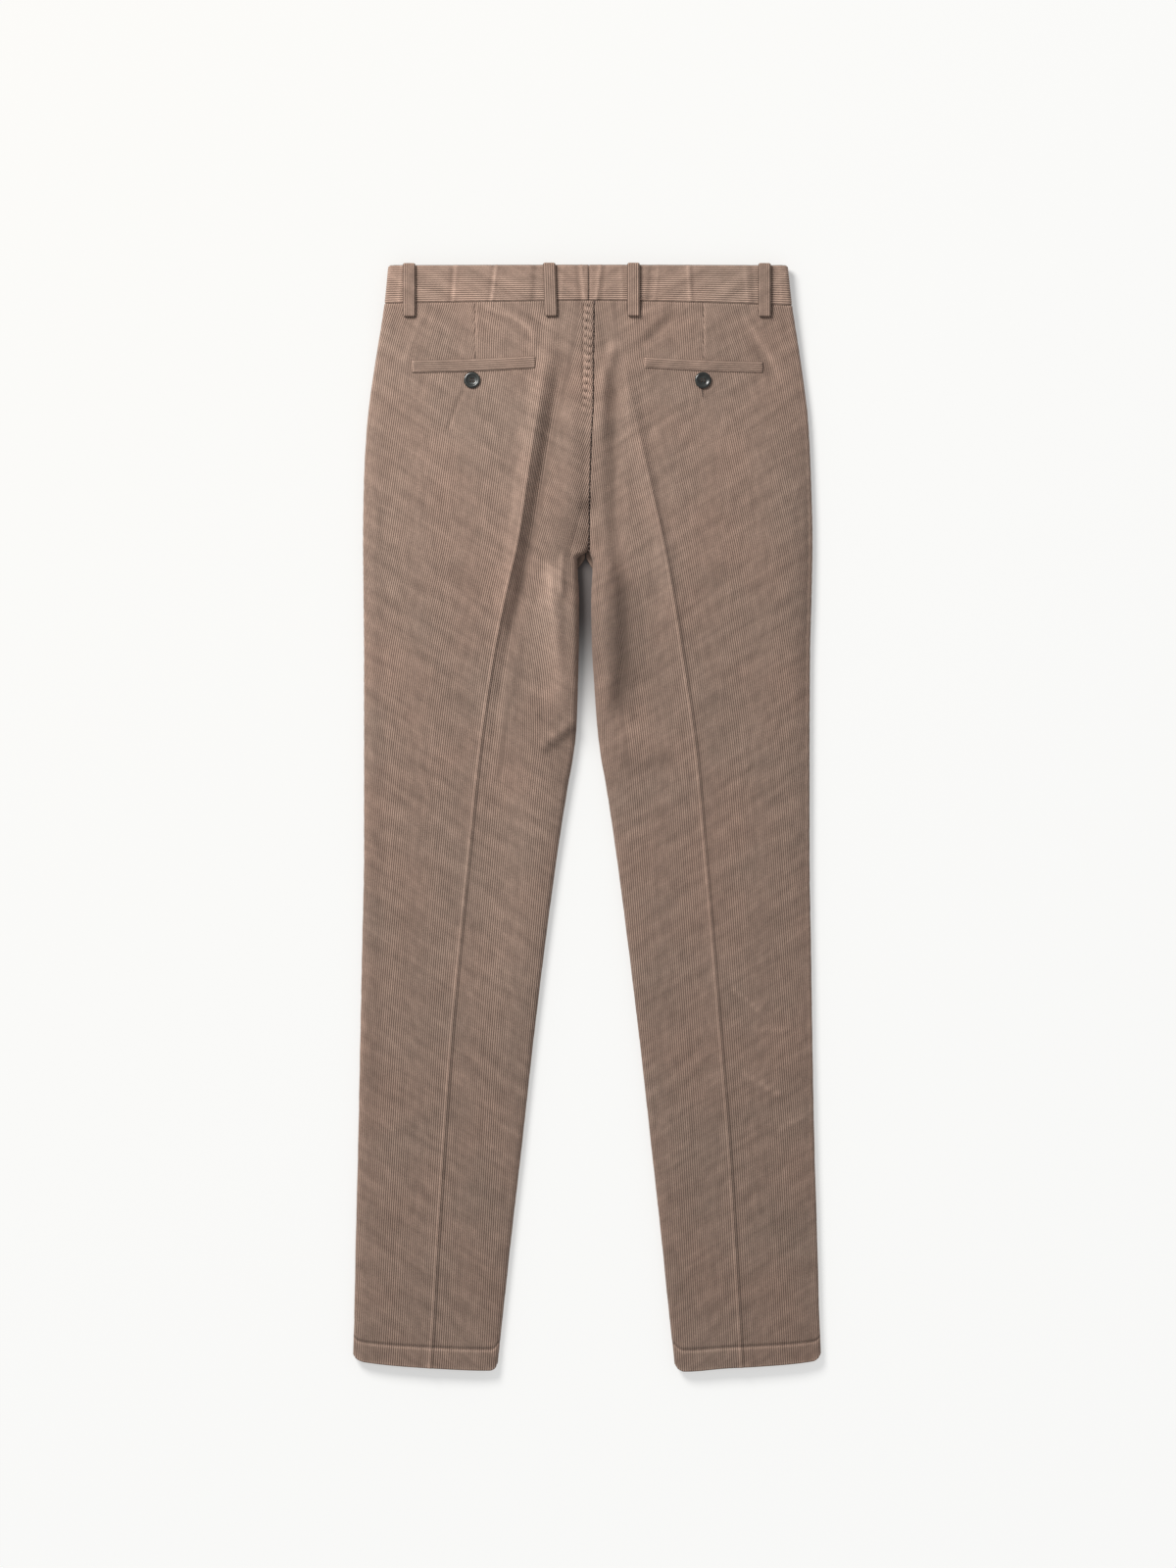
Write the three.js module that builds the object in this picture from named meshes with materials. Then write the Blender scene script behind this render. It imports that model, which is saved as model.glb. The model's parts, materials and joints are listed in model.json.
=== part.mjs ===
// Corduroy trousers laid out flat with the back upwards, in millimetres.
// The draft: x runs across from the centre line towards the wearer's right, y runs down from
// the waist edge to the hems, z runs up from the surface that the trousers lie on.
import * as THREE from "three";

// Cloth
const CLOTH = 1.5;
const HEM_CLOTH = 2.6;
const BAND_CLOTH = 2.8;
const SEAM_GAP = 0.3;

// Waistband and what hangs on it
const WAIST_TOP = 1;
const BAND_PROUD = 0.5;
const BAND_UNDERSIDE = 2.7;
const BAND_FOLD = 5;
const BAND_SEAM_X = 1;
const FRONT_CLOSING_X = 12;
const LOOP_WIDTH = 12.6;
const LOOP_CLOTH = 1.5;
const LOOP_ARCH = 2.5;
const LOOP_TOP = 0.6;
const LOOP_FOOT = 54;

// Side folds of the legs
const FOLD = 4.5;
const INNER_FOLD = 7;
const SEAM_HEIGHT = 4.2;
const FRONT_RISE_END = 110;

// Crotch, hems and pockets
const FORK_BACK = { left: 295, right: 298 };
const FORK_FRONT = { left: 307, right: 307 };
const HEM_HEIGHT = 22;
const HEM_LINE = 1126;
const WELT_CLOTH = 1.4;
const BUTTON_RADIUS = 8;
const BUTTON_THICK = 2.2;

// Centre of the laid-out trousers in the draft, which becomes the origin
const CENTRE = { x: -1, y: 565.2 };

// Side seams, creases and heights of the back, one row for each section
const SECTIONS = [
  { y: 0, outL: -204, outR: 204, creaseL: -29, creaseR: 19, rim: 11.5, ridgeL: 15.5, ridgeR: 15.5 },
  { y: 40, outL: -208, outR: 208.5, creaseL: -32, creaseR: 25, rim: 11.5, ridgeL: 15.5, ridgeR: 15.5 },
  { y: 70, outL: -212.5, outR: 213, creaseL: -39, creaseR: 31, rim: 10.5, ridgeL: 17, ridgeR: 16.5 },
  { y: 100, outL: -217.5, outR: 217.5, creaseL: -43.5, creaseR: 37, rim: 9.5, ridgeL: 19, ridgeR: 18 },
  { y: 160, outL: -225.5, outR: 225, creaseL: -52.5, creaseR: 49.5, rim: 9, ridgeL: 22, ridgeR: 20 },
  { y: 220, outL: -229, outR: 228, creaseL: -61.5, creaseR: 62.5, rim: 9, ridgeL: 24, ridgeR: 22 },
  { y: 280, outL: -230, outR: 229.5, creaseL: -70.5, creaseR: 76, rim: 9, ridgeL: 24, ridgeR: 22 },
  { y: 340, outL: -229.5, outR: 228.5, creaseL: -84, creaseR: 87, rim: 9, ridgeL: 22.5, ridgeR: 21 },
  { y: 400, outL: -229, outR: 227, creaseL: -96, creaseR: 96.5, rim: 8.5, ridgeL: 20.5, ridgeR: 19.5 },
  { y: 500, outL: -229, outR: 226.5, creaseL: -110.5, creaseR: 110.5, rim: 8.5, ridgeL: 18, ridgeR: 17.5 },
  { y: 600, outL: -229, outR: 226.5, creaseL: -121, creaseR: 119.5, rim: 8.5, ridgeL: 16, ridgeR: 16 },
  { y: 700, outL: -231, outR: 228, creaseL: -131, creaseR: 128, rim: 8.5, ridgeL: 15, ridgeR: 15 },
  { y: 800, outL: -233, outR: 229.5, creaseL: -140, creaseR: 136, rim: 8.5, ridgeL: 14, ridgeR: 14 },
  { y: 900, outL: -235, outR: 231.5, creaseL: -147, creaseR: 144, rim: 8.5, ridgeL: 13.5, ridgeR: 13.5 },
  { y: 1000, outL: -237.5, outR: 234.5, creaseL: -153.5, creaseR: 150, rim: 8.5, ridgeL: 13, ridgeR: 13 },
  { y: 1080, outL: -239, outR: 236.5, creaseL: -158, creaseR: 154.5, rim: 8.5, ridgeL: 13, ridgeR: 13 },
  { y: 1126, outL: -240, outR: 238, creaseL: -161, creaseR: 157, rim: 8.5, ridgeL: 13.5, ridgeR: 13.5 },
];

// Inner edges of the legs below the crotch, with the height of the inner thigh
const INNER_LEG = [
  { y: 290, inL: -11, inR: 6, top: 15 },
  { y: 310, inL: -10.5, inR: 4.8, top: 17 },
  { y: 342, inL: -9, inR: 3.2, top: 17.5 },
  { y: 386, inL: -9.2, inR: 3.8, top: 16.5 },
  { y: 431, inL: -10.2, inR: 6.4, top: 14.5 },
  { y: 475, inL: -11.8, inR: 9.6, top: 12.5 },
  { y: 502, inL: -15, inR: 13, top: 11.5 },
  { y: 530, inL: -20, inR: 18, top: 10.5 },
  { y: 600, inL: -31, inR: 28.5, top: 9.5 },
  { y: 700, inL: -44.5, inR: 41.5, top: 9 },
  { y: 800, inL: -56.5, inR: 53.5, top: 8.5 },
  { y: 900, inL: -67.5, inR: 64.5, top: 8.5 },
  { y: 1000, inL: -79, inR: 75.5, top: 8.5 },
  { y: 1080, inL: -87.5, inR: 83.5, top: 8.5 },
  { y: 1126, inL: -92, inR: 88.5, top: 8.5 },
];

// The seat seam at the centre back and the seam at the centre front
const SEAT_SEAM = [
  { y: 0, x: 6.5, top: 15.5 },
  { y: 40, x: 6.5, top: 15.5 },
  { y: 85, x: 6, top: 18 },
  { y: 142, x: 5.5, top: 19 },
  { y: 177, x: 3.7, top: 18.5 },
  { y: 232, x: 2, top: 16 },
  { y: 270, x: 1.4, top: 12.5 },
  { y: 300, x: 1, top: 10 },
];
const FRONT_SEAM = [
  { y: 0, x: 0 },
  { y: 150, x: -0.5 },
  { y: 310, x: -2.5 },
];

// How far the waistband seam and the hems stray from a straight line across
const WAIST_SEAM = [
  { x: -208, y: 40 },
  { x: -100, y: 38.5 },
  { x: 0, y: 37.5 },
  { x: 100, y: 39 },
  { x: 208, y: 42 },
];
const HEM_STRAY = {
  left: [
    { x: -240, y: -13 },
    { x: -236, y: -8.5 },
    { x: -228, y: -5.5 },
    { x: -160, y: 0.5 },
    { x: -100, y: 3 },
    { x: -95, y: 1 },
    { x: -92, y: -4.5 },
  ],
  right: [
    { x: 88.5, y: -3 },
    { x: 92, y: 1.5 },
    { x: 98, y: 4 },
    { x: 142, y: 0.5 },
    { x: 171, y: -1 },
    { x: 230, y: -6.5 },
    { x: 235, y: -9.5 },
    { x: 238, y: -14 },
  ],
};

// Largest folds of the back: a line through two or three points, how high it stands
// (a trough below nought) and how far it reaches to each side
const FOLDS = [
  { name: "beside left crease", line: [[-20, 95], [-55, 270], [-76, 370]], rise: -4, reach: 13 },
  { name: "left of seat seam", line: [[-22, 110], [-16, 200], [-8, 262]], rise: 2, reach: 11 },
  { name: "right of seat seam", line: [[28, 75], [15, 115], [9, 190]], rise: 1.5, reach: 9 },
  { name: "right seat valley", line: [[28, 100], [24, 230], [35, 330]], rise: -3.5, reach: 13 },
  { name: "right thigh valley", line: [[35, 330], [38, 398], [31, 455]], rise: -3, reach: 12 },
  { name: "left thigh fold", line: [[-28, 300], [-38, 345], [-32, 425]], rise: 2.5, reach: 11 },
  { name: "beside left side seam", line: [[-214, 130], [-215, 500], [-221, 980]], rise: -1, reach: 12 },
];

// Belt loops on the back, pocket welts and their buttons
const BACK_LOOPS = [
  { name: "loop_back_1", x: -182.2, lean: 0 },
  { name: "loop_back_2", x: -39.5, lean: 1.8 },
  { name: "loop_back_3", x: 46.3, lean: 0 },
  { name: "loop_back_4", x: 179.8, lean: 0 },
];
const FRONT_LOOPS = [
  { name: "loop_front_1", x: -104, lean: 0 },
  { name: "loop_front_2", x: 104, lean: 0 },
];
const WELTS = [
  { name: "welt_left", side: "left", x0: -179, x1: -54, top0: 98.3, top1: 94.2, height: 12.8 },
  { name: "welt_right", side: "right", x0: 57.5, x1: 178, top0: 95.3, top1: 99.7, height: 10.8 },
];
const POCKET_BUTTONS = [
  { name: "pocket_button_left", side: "left", x: -118, y: 119 },
  { name: "pocket_button_right", side: "right", x: 117, y: 119 },
];
const FLY_SHIELD = { x0: -22, x1: 17, rows: [46, 60, 80, 110, 200] };

// Rows of each panel, measured down from the waist edge
const BACK_ROWS = [
  40, 58, 78, 97, 112, 135, 165, 200, 235, 265, 283, 292, 298, 306, 320, 345, 380, 420, 470, 530,
  620, 730, 840, 950, 1050, 1102, 1106, 1126,
];
const FRONT_ROWS = [
  40, 60, 80, 110, 200, 280, 296, 303, 309, 320, 380, 460, 560, 700, 900, 1102, 1106, 1126,
];
const FOLD_STEPS = 3;
const OUTER_STEPS = 8;
const INNER_STEPS = 6;
const FRONT_STEPS = 5;
const BAND_STEPS = 12;
const BAND_FOLD_STEPS = 6;
const BAND_FRONT_STEPS = 4;
const WELT_STEPS = 10;

const SIDES = {
  left: { inward: 1, out: "outL", in: "inL", crease: "creaseL", ridge: "ridgeL" },
  right: { inward: -1, out: "outR", in: "inR", crease: "creaseR", ridge: "ridgeR" },
};

const corduroy = new THREE.MeshStandardMaterial({ color: 0x8d7466, roughness: 0.95, metalness: 0 });
const horn = new THREE.MeshStandardMaterial({ color: 0x1c1d1c, roughness: 0.25, metalness: 0 });

const lerp = THREE.MathUtils.lerp;
const ease = (value, from, to) => THREE.MathUtils.smoothstep(value, from, to);

// Smooth curve through a column of a table, which never overshoots the rows
function column(table, at, value) {
  const xs = table.map((row) => row[at]);
  const ys = table.map((row) => row[value]);
  const steps = xs.slice(1).map((x, i) => (ys[i + 1] - ys[i]) / (x - xs[i]));
  const slopes = xs.map((x, i) => {
    if (i === 0) return steps[0];
    if (i === xs.length - 1) return steps[i - 1];
    if (steps[i - 1] * steps[i] <= 0) return 0;
    return (2 * steps[i - 1] * steps[i]) / (steps[i - 1] + steps[i]);
  });
  return (x) => {
    const held = Math.min(Math.max(x, xs[0]), xs[xs.length - 1]);
    let i = 0;
    while (i < xs.length - 2 && held > xs[i + 1]) i += 1;
    const width = xs[i + 1] - xs[i];
    const t = (held - xs[i]) / width;
    const rise = (ys[i + 1] - ys[i]) * t * t * (3 - 2 * t);
    const bend = slopes[i] * t * (1 - t) * (1 - t) - slopes[i + 1] * t * t * (1 - t);
    return ys[i] + rise + width * bend;
  };
}

const waistSeam = column(WAIST_SEAM, "x", "y");
const rimTop = column(SECTIONS, "y", "rim");
const thighTop = column(INNER_LEG, "y", "top");
const seatSeam = column(SEAT_SEAM, "y", "x");
const seatTop = column(SEAT_SEAM, "y", "top");
const frontSeam = column(FRONT_SEAM, "y", "x");
const shape = {};
for (const [side, keys] of Object.entries(SIDES)) {
  shape[side] = {
    out: column(SECTIONS, "y", keys.out),
    crease: column(SECTIONS, "y", keys.crease),
    ridge: column(SECTIONS, "y", keys.ridge),
    leg: column(INNER_LEG, "y", keys.in),
    hem: column(HEM_STRAY[side], "x", "y"),
  };
}

// Underside of the front: raised at the waistband by the belt loops under it, flat below
const frontUnderside = (y) => (BAND_UNDERSIDE + SEAM_GAP) * (1 - ease(y, 40, FRONT_RISE_END));
const seamHeight = (y) => frontUnderside(y) + SEAM_HEIGHT;
const clothAt = (y) => lerp(CLOTH, HEM_CLOTH, ease(y, HEM_LINE - HEM_HEIGHT - 4, HEM_LINE - HEM_HEIGHT));

// Inner edge of a panel: the centre seam above the fork, the inside leg below it
function innerEdge(side, y, seam, fork) {
  const half = (SIDES[side].inward * SEAM_GAP) / 2;
  return lerp(seam(y) - half, shape[side].leg(y), ease(y, fork[side] - 4, fork[side] + 5));
}

// How far the inner edge has turned down: not at all along the seam, fully below the fork
const turned = (side, y, fork) => ease(y, fork[side] - 16, fork[side] + 4);

// Distance from a point to a fold's line and how far along it lies, 0 to 1
function alongLine(line, x, y) {
  const lengths = line.slice(1).map((p, i) => Math.hypot(p[0] - line[i][0], p[1] - line[i][1]));
  const whole = lengths.reduce((a, b) => a + b, 0);
  let best = { away: Infinity, along: 0 };
  let passed = 0;
  lengths.forEach((length, i) => {
    const [ax, ay] = line[i];
    const [bx, by] = line[i + 1];
    const dot = (x - ax) * (bx - ax) + (y - ay) * (by - ay);
    const t = Math.min(Math.max(dot / (length * length), 0), 1);
    const away = Math.hypot(x - lerp(ax, bx, t), y - lerp(ay, by, t));
    if (away < best.away) best = { away, along: (passed + t * length) / whole };
    passed += length;
  });
  return best;
}

function foldRise(x, y) {
  let rise = 0;
  for (const fold of FOLDS) {
    const { away, along } = alongLine(fold.line, x, y);
    const fade = ease(along, 0, 0.2) * (1 - ease(along, 0.8, 1));
    if (away < 2 * fold.reach) rise += fold.rise * fade * Math.exp(-((away / fold.reach) ** 2));
  }
  return rise;
}

// Height of the back's outer face between its two rounded edges
function backHeight(side, x, y) {
  const { out, crease, ridge } = shape[side];
  const { inward } = SIDES[side];
  const edge = out(y) + inward * FOLD;
  const middle = crease(y);
  const top = ridge(y);
  let height;
  if ((x - middle) * inward <= 0) {
    const t = THREE.MathUtils.clamp((x - edge) / (middle - edge), 0, 1);
    height = lerp(rimTop(y), top, 0.45 * Math.sin((t * Math.PI) / 2) + 0.55 * t ** 1.2);
  } else {
    const end = innerEdge(side, y, seatSeam, FORK_BACK) - inward * INNER_FOLD;
    const t = THREE.MathUtils.clamp((x - end) / (middle - end), 0, 1);
    const fork = FORK_BACK[side];
    const low = lerp(seatTop(y), thighTop(y), ease(y, fork - 8, fork + 16));
    height = lerp(low, top, t ** 1.15);
  }
  return height + foldRise(x, y);
}

// A closed wall between two grids of points: outer and inner face and the rim round them
function wall(outer, inner) {
  const rows = outer.length;
  const columns = outer[0].length;
  const positions = [...outer.flat(), ...inner.flat()].flatMap((p) => [p.x, p.y, p.z]);
  const skin = rows * columns;
  const at = (row, col, face) => face * skin + row * columns + col;
  const index = [];
  const quad = (a, b, c, d) => index.push(a, b, c, a, c, d);
  for (let r = 0; r < rows - 1; r += 1) {
    for (let c = 0; c < columns - 1; c += 1) {
      quad(at(r, c, 0), at(r, c + 1, 0), at(r + 1, c + 1, 0), at(r + 1, c, 0));
      quad(at(r, c, 1), at(r + 1, c, 1), at(r + 1, c + 1, 1), at(r, c + 1, 1));
    }
    quad(at(r, 0, 0), at(r + 1, 0, 0), at(r + 1, 0, 1), at(r, 0, 1));
    quad(at(r + 1, columns - 1, 0), at(r, columns - 1, 0), at(r, columns - 1, 1), at(r + 1, columns - 1, 1));
  }
  for (let c = 0; c < columns - 1; c += 1) {
    quad(at(0, c + 1, 0), at(0, c, 0), at(0, c, 1), at(0, c + 1, 1));
    quad(at(rows - 1, c, 0), at(rows - 1, c + 1, 0), at(rows - 1, c + 1, 1), at(rows - 1, c, 1));
  }
  const geometry = new THREE.BufferGeometry();
  geometry.setAttribute("position", new THREE.Float32BufferAttribute(positions, 3));
  geometry.setIndex(facingOut(positions, index));
  geometry.computeVertexNormals();
  return geometry;
}

// The faces, turned round where they enclose less than nothing
function facingOut(positions, index) {
  const point = (i) => new THREE.Vector3().fromArray(positions, 3 * i);
  let volume = 0;
  for (let i = 0; i < index.length; i += 3) {
    const [a, b, c] = index.slice(i, i + 3).map(point);
    volume += a.dot(b.cross(c));
  }
  if (volume > 0) return index;
  return index.map((value, i) => index[i + ((i % 3) === 1 ? 1 : (i % 3) === 2 ? -1 : 0)]);
}

// The inner points of a row: each outer point moved into the cloth, square to the row's path,
// whose own direction at its two ends is given
function thicken({ path, start, finish }, depth) {
  return path.map((p, i) => {
    let tangent = start;
    if (i === path.length - 1) tangent = finish;
    else if (i > 0) {
      const [before, after] = [path[i - 1], path[i + 1]];
      tangent = new THREE.Vector2(after.x - before.x, after.z - before.z);
    }
    tangent = tangent.clone().normalize();
    return new THREE.Vector3(p.x - tangent.y * depth, p.y, p.z + tangent.x * depth);
  });
}

// From the draft's point to the part's frame: the waist points along +Y
const place = (p) => new THREE.Vector3(p.x - CENTRE.x, CENTRE.y - p.y, p.z);
const placed = (grid) => grid.map((row) => row.map(place));

const range = (count) => Array.from({ length: count + 1 }, (_, i) => i / count);

// Where a row's point lies up or down: rows bend with the waist seam and with the hem
function rowAt(side, x, y) {
  const top = (waistSeam(x) + SEAM_GAP - 40) * (1 - ease(y, 40, 100));
  const bottom = shape[side].hem(x) * ease(y, 1040, HEM_LINE);
  return y + top + bottom;
}

// One row of a back panel's outer face, from the side seam over the top to the inner edge
function backRow(side, y) {
  const { inward } = SIDES[side];
  const { out, crease } = shape[side];
  const seam = seamHeight(y) + SEAM_GAP / 2;
  const outer = out(y);
  const inner = innerEdge(side, y, seatSeam, FORK_BACK);
  const edge = outer + inward * FOLD;
  const end = inner - inward * INNER_FOLD;
  const path = [];
  const add = (x, z) => path.push(new THREE.Vector3(x, rowAt(side, x, y), z));
  const rim = backHeight(side, edge, y);
  for (const t of range(FOLD_STEPS).slice(0, -1)) {
    const angle = ((1 - t) * Math.PI) / 2;
    add(edge - inward * FOLD * Math.sin(angle), lerp(seam, rim, Math.cos(angle)));
  }
  for (const t of range(OUTER_STEPS)) {
    const x = lerp(edge, crease(y), t);
    add(x, backHeight(side, x, y));
  }
  for (const t of range(INNER_STEPS).slice(1)) {
    const x = lerp(crease(y), end, t);
    add(x, backHeight(side, x, y));
  }
  const turn = turned(side, y, FORK_BACK);
  const last = backHeight(side, end, y);
  for (const t of range(FOLD_STEPS).slice(1)) {
    const angle = (t * Math.PI) / 2;
    const reach = lerp(t, Math.sin(angle), turn);
    add(end + inward * INNER_FOLD * reach, last - turn * (last - seam) * (1 - Math.cos(angle)));
  }
  const drop = (-turn * (last - seam) * Math.PI) / 2;
  const finish = new THREE.Vector2(inward * INNER_FOLD * (1 - turn), drop);
  return { path, start: new THREE.Vector2(0, 1), finish };
}

// One row of a front panel's underside, from the side seam underneath to the inner edge
function frontRow(side, y) {
  const { inward } = SIDES[side];
  const seam = seamHeight(y) - SEAM_GAP / 2;
  const low = frontUnderside(y);
  const outer = shape[side].out(y);
  const inner = innerEdge(side, y, frontSeam, FORK_FRONT);
  const edge = outer + inward * FOLD;
  const end = inner - inward * FOLD;
  const path = [];
  const add = (x, z) => path.push(new THREE.Vector3(x, rowAt(side, x, y), z));
  for (const t of range(FOLD_STEPS).slice(0, -1)) {
    const angle = ((1 - t) * Math.PI) / 2;
    add(edge - inward * FOLD * Math.sin(angle), lerp(seam, low, Math.cos(angle)));
  }
  for (const t of range(FRONT_STEPS)) add(lerp(edge, end, t), low);
  const turn = turned(side, y, FORK_FRONT);
  for (const t of range(FOLD_STEPS).slice(1)) {
    const angle = (t * Math.PI) / 2;
    const reach = lerp(t, Math.sin(angle), turn);
    add(end + inward * FOLD * reach, low + turn * (seam - low) * (1 - Math.cos(angle)));
  }
  const climb = (turn * (seam - low) * Math.PI) / 2;
  const finish = new THREE.Vector2(inward * FOLD * (1 - turn), climb);
  return { path, start: new THREE.Vector2(0, -1), finish };
}

function panel(name, rows, row, side, inside) {
  const paths = rows.map((y) => row(side, y));
  const outer = paths.map(({ path }) => path);
  const inner = paths.map((each, i) => thicken(each, inside * clothAt(rows[i])));
  const mesh = new THREE.Mesh(wall(placed(outer), placed(inner)), corduroy);
  mesh.name = name;
  return { mesh, outer };
}

// Half of the waistband: from the centre back round the side fold to the closing in front
function waistband(side) {
  const { inward } = SIDES[side];
  const half = (inward * SEAM_GAP) / 2;
  const rows = [0, 0.08, 0.94, 1];
  const outer = rows.map((share) => {
    const nominal = lerp(WAIST_TOP, 40, share);
    const soften = 0.5 * (1 - ease(share, 0, 0.08)) + 0.3 * ease(share, 0.94, 1);
    const path = [];
    const add = (x, z) => {
      path.push(new THREE.Vector3(x, lerp(WAIST_TOP, waistSeam(x), share), z));
    };
    const edge = shape[side].out(nominal) + inward * BAND_FOLD;
    const top = (x) => backHeight(side, x, 40) + BAND_PROUD - soften;
    for (const t of range(BAND_STEPS).slice(0, -1)) {
      const x = lerp(BAND_SEAM_X - half, edge, t);
      add(x, top(x));
    }
    const high = top(edge);
    const middle = (high + BAND_UNDERSIDE) / 2;
    for (const t of range(BAND_FOLD_STEPS)) {
      const angle = t * Math.PI;
      const z = middle + (high - middle) * Math.cos(angle);
      add(edge - inward * BAND_FOLD * Math.sin(angle), z);
    }
    const closing = FRONT_CLOSING_X - half;
    for (const t of range(BAND_FRONT_STEPS).slice(1)) add(lerp(edge, closing, t), BAND_UNDERSIDE);
    return path;
  });
  const start = new THREE.Vector2(-inward, 0);
  const finish = new THREE.Vector2(inward, 0);
  const inner = outer.map((path) => thicken({ path, start, finish }, inward * BAND_CLOTH));
  const mesh = new THREE.Mesh(wall(placed(outer), placed(inner)), corduroy);
  mesh.name = "waistband_" + side;
  return mesh;
}

// Height of a made surface at a point of the draft, read from its own facets
function heightOn(grid, x, y) {
  for (let r = 0; r < grid.length - 1; r += 1) {
    for (let c = 0; c < grid[r].length - 1; c += 1) {
      const corners = [grid[r][c], grid[r][c + 1], grid[r + 1][c + 1], grid[r + 1][c]];
      for (const [i, j, k] of [[0, 1, 2], [0, 2, 3]]) {
        const [a, b, d] = [corners[i], corners[j], corners[k]];
        const area = (b.x - a.x) * (d.y - a.y) - (d.x - a.x) * (b.y - a.y);
        if (Math.abs(area) < 1e-6) continue;
        const s = ((x - a.x) * (d.y - a.y) - (d.x - a.x) * (y - a.y)) / area;
        const t = ((b.x - a.x) * (y - a.y) - (x - a.x) * (b.y - a.y)) / area;
        if (s >= -1e-6 && t >= -1e-6 && s + t <= 1 + 1e-6) {
          return a.z + s * (b.z - a.z) + t * (d.z - a.z);
        }
      }
    }
  }
  return null;
}

// A pocket welt: the panel's surface under it, moved out
function welt({ name, x0, x1, top0, top1, height }, ground) {
  const across = range(WELT_STEPS);
  const lip = [0.9, 0, 0, 0.9];
  const grid = (lift) =>
    lip.map((drop, i) =>
      across.map((t) => {
        const x = lerp(x0, x1, t);
        const y = lerp(top0, top1, t) + (height * i) / (lip.length - 1);
        return new THREE.Vector3(x, y, heightOn(ground, x, y) + lift(drop));
      }),
    );
  const outer = grid((drop) => SEAM_GAP + 0.1 + WELT_CLOTH - drop * 0.5);
  const inner = grid(() => SEAM_GAP + 0.1);
  const mesh = new THREE.Mesh(wall(placed(outer), placed(inner)), corduroy);
  mesh.name = name;
  return mesh;
}

// A belt loop: a strip that stands off the waistband, its feet on the band and the panel
function beltLoop({ name, x, lean }, upper, lower, up, arch) {
  const high = upper + up * (SEAM_GAP + arch + LOOP_CLOTH);
  const low = lower + up * (SEAM_GAP + arch + LOOP_CLOTH);
  const profile = [
    { y: LOOP_TOP, z: upper + up * SEAM_GAP },
    { y: LOOP_TOP, z: lerp(upper + up * SEAM_GAP, high, 0.6) },
    { y: LOOP_TOP + 1.2, z: lerp(upper, high, 0.94) },
    { y: LOOP_TOP + 4, z: high },
    { y: LOOP_TOP + 20, z: high },
    { y: 36, z: high },
    { y: 44, z: lerp(high, low, 0.5) },
    { y: LOOP_FOOT - 4, z: low },
    { y: LOOP_FOOT - 1.2, z: lerp(lower, low, 0.94) },
    { y: LOOP_FOOT, z: lerp(lower + up * SEAM_GAP, low, 0.6) },
    { y: LOOP_FOOT, z: lower + up * SEAM_GAP },
  ];
  const grid = (depth) =>
    profile.map((p, i) => {
      const before = profile[Math.max(i - 1, 0)];
      const after = profile[Math.min(i + 1, profile.length - 1)];
      const along = new THREE.Vector2(after.y - before.y, after.z - before.z).normalize();
      const shift = (lean * p.y) / LOOP_FOOT;
      return [-0.5, 0.5].map(
        (half) =>
          new THREE.Vector3(
            x + shift + half * LOOP_WIDTH,
            p.y + up * along.y * depth,
            p.z - up * along.x * depth,
          ),
      );
    });
  const mesh = new THREE.Mesh(wall(placed(grid(0)), placed(grid(LOOP_CLOTH))), corduroy);
  mesh.name = name;
  return mesh;
}

// A flat sew-through button with four holes, its underside on the point given
function button(name, at, normal) {
  const rim = 0.7;
  const face = new THREE.Shape().absarc(0, 0, BUTTON_RADIUS - rim, 0, 2 * Math.PI, false);
  for (const quarter of range(4).slice(1)) {
    const angle = (quarter + 1 / 8) * 2 * Math.PI;
    const hole = new THREE.Path();
    hole.absarc(2 * Math.cos(angle), 2 * Math.sin(angle), 0.9, 0, 2 * Math.PI, true);
    face.holes.push(hole);
  }
  const geometry = new THREE.ExtrudeGeometry(face, {
    depth: BUTTON_THICK - 2 * 0.6,
    bevelThickness: 0.6,
    bevelSize: rim,
    bevelOffset: 0,
    bevelSegments: 1,
    curveSegments: 6,
  });
  geometry.translate(0, 0, 0.6);
  const mesh = new THREE.Mesh(geometry, horn);
  mesh.name = name;
  mesh.position.copy(at);
  mesh.quaternion.setFromUnitVectors(new THREE.Vector3(0, 0, 1), normal);
  return mesh;
}

// A button on a back pocket, flat on the slope of the panel under it
function pocketButton({ name, x, y }, ground) {
  const z = heightOn(ground, x, y);
  const slopeX = (heightOn(ground, x + 6, y) - heightOn(ground, x - 6, y)) / 12;
  const slopeY = (heightOn(ground, x, y + 6) - heightOn(ground, x, y - 6)) / 12;
  const normal = new THREE.Vector3(-slopeX, slopeY, 1).normalize();
  const at = place({ x, y, z }).addScaledVector(normal, SEAM_GAP + 0.1);
  return button(name, at, normal);
}

// The strip behind the front opening, lying on the inner face of the two front panels
function flyShield({ x0, x1, rows }) {
  const grid = (lift) =>
    rows.map((y) =>
      range(3).map((t) => new THREE.Vector3(lerp(x0, x1, t), y, frontUnderside(y) + CLOTH + lift)),
    );
  const mesh = new THREE.Mesh(wall(placed(grid(SEAM_GAP + CLOTH)), placed(grid(SEAM_GAP))), corduroy);
  mesh.name = "fly_shield";
  return mesh;
}

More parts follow.
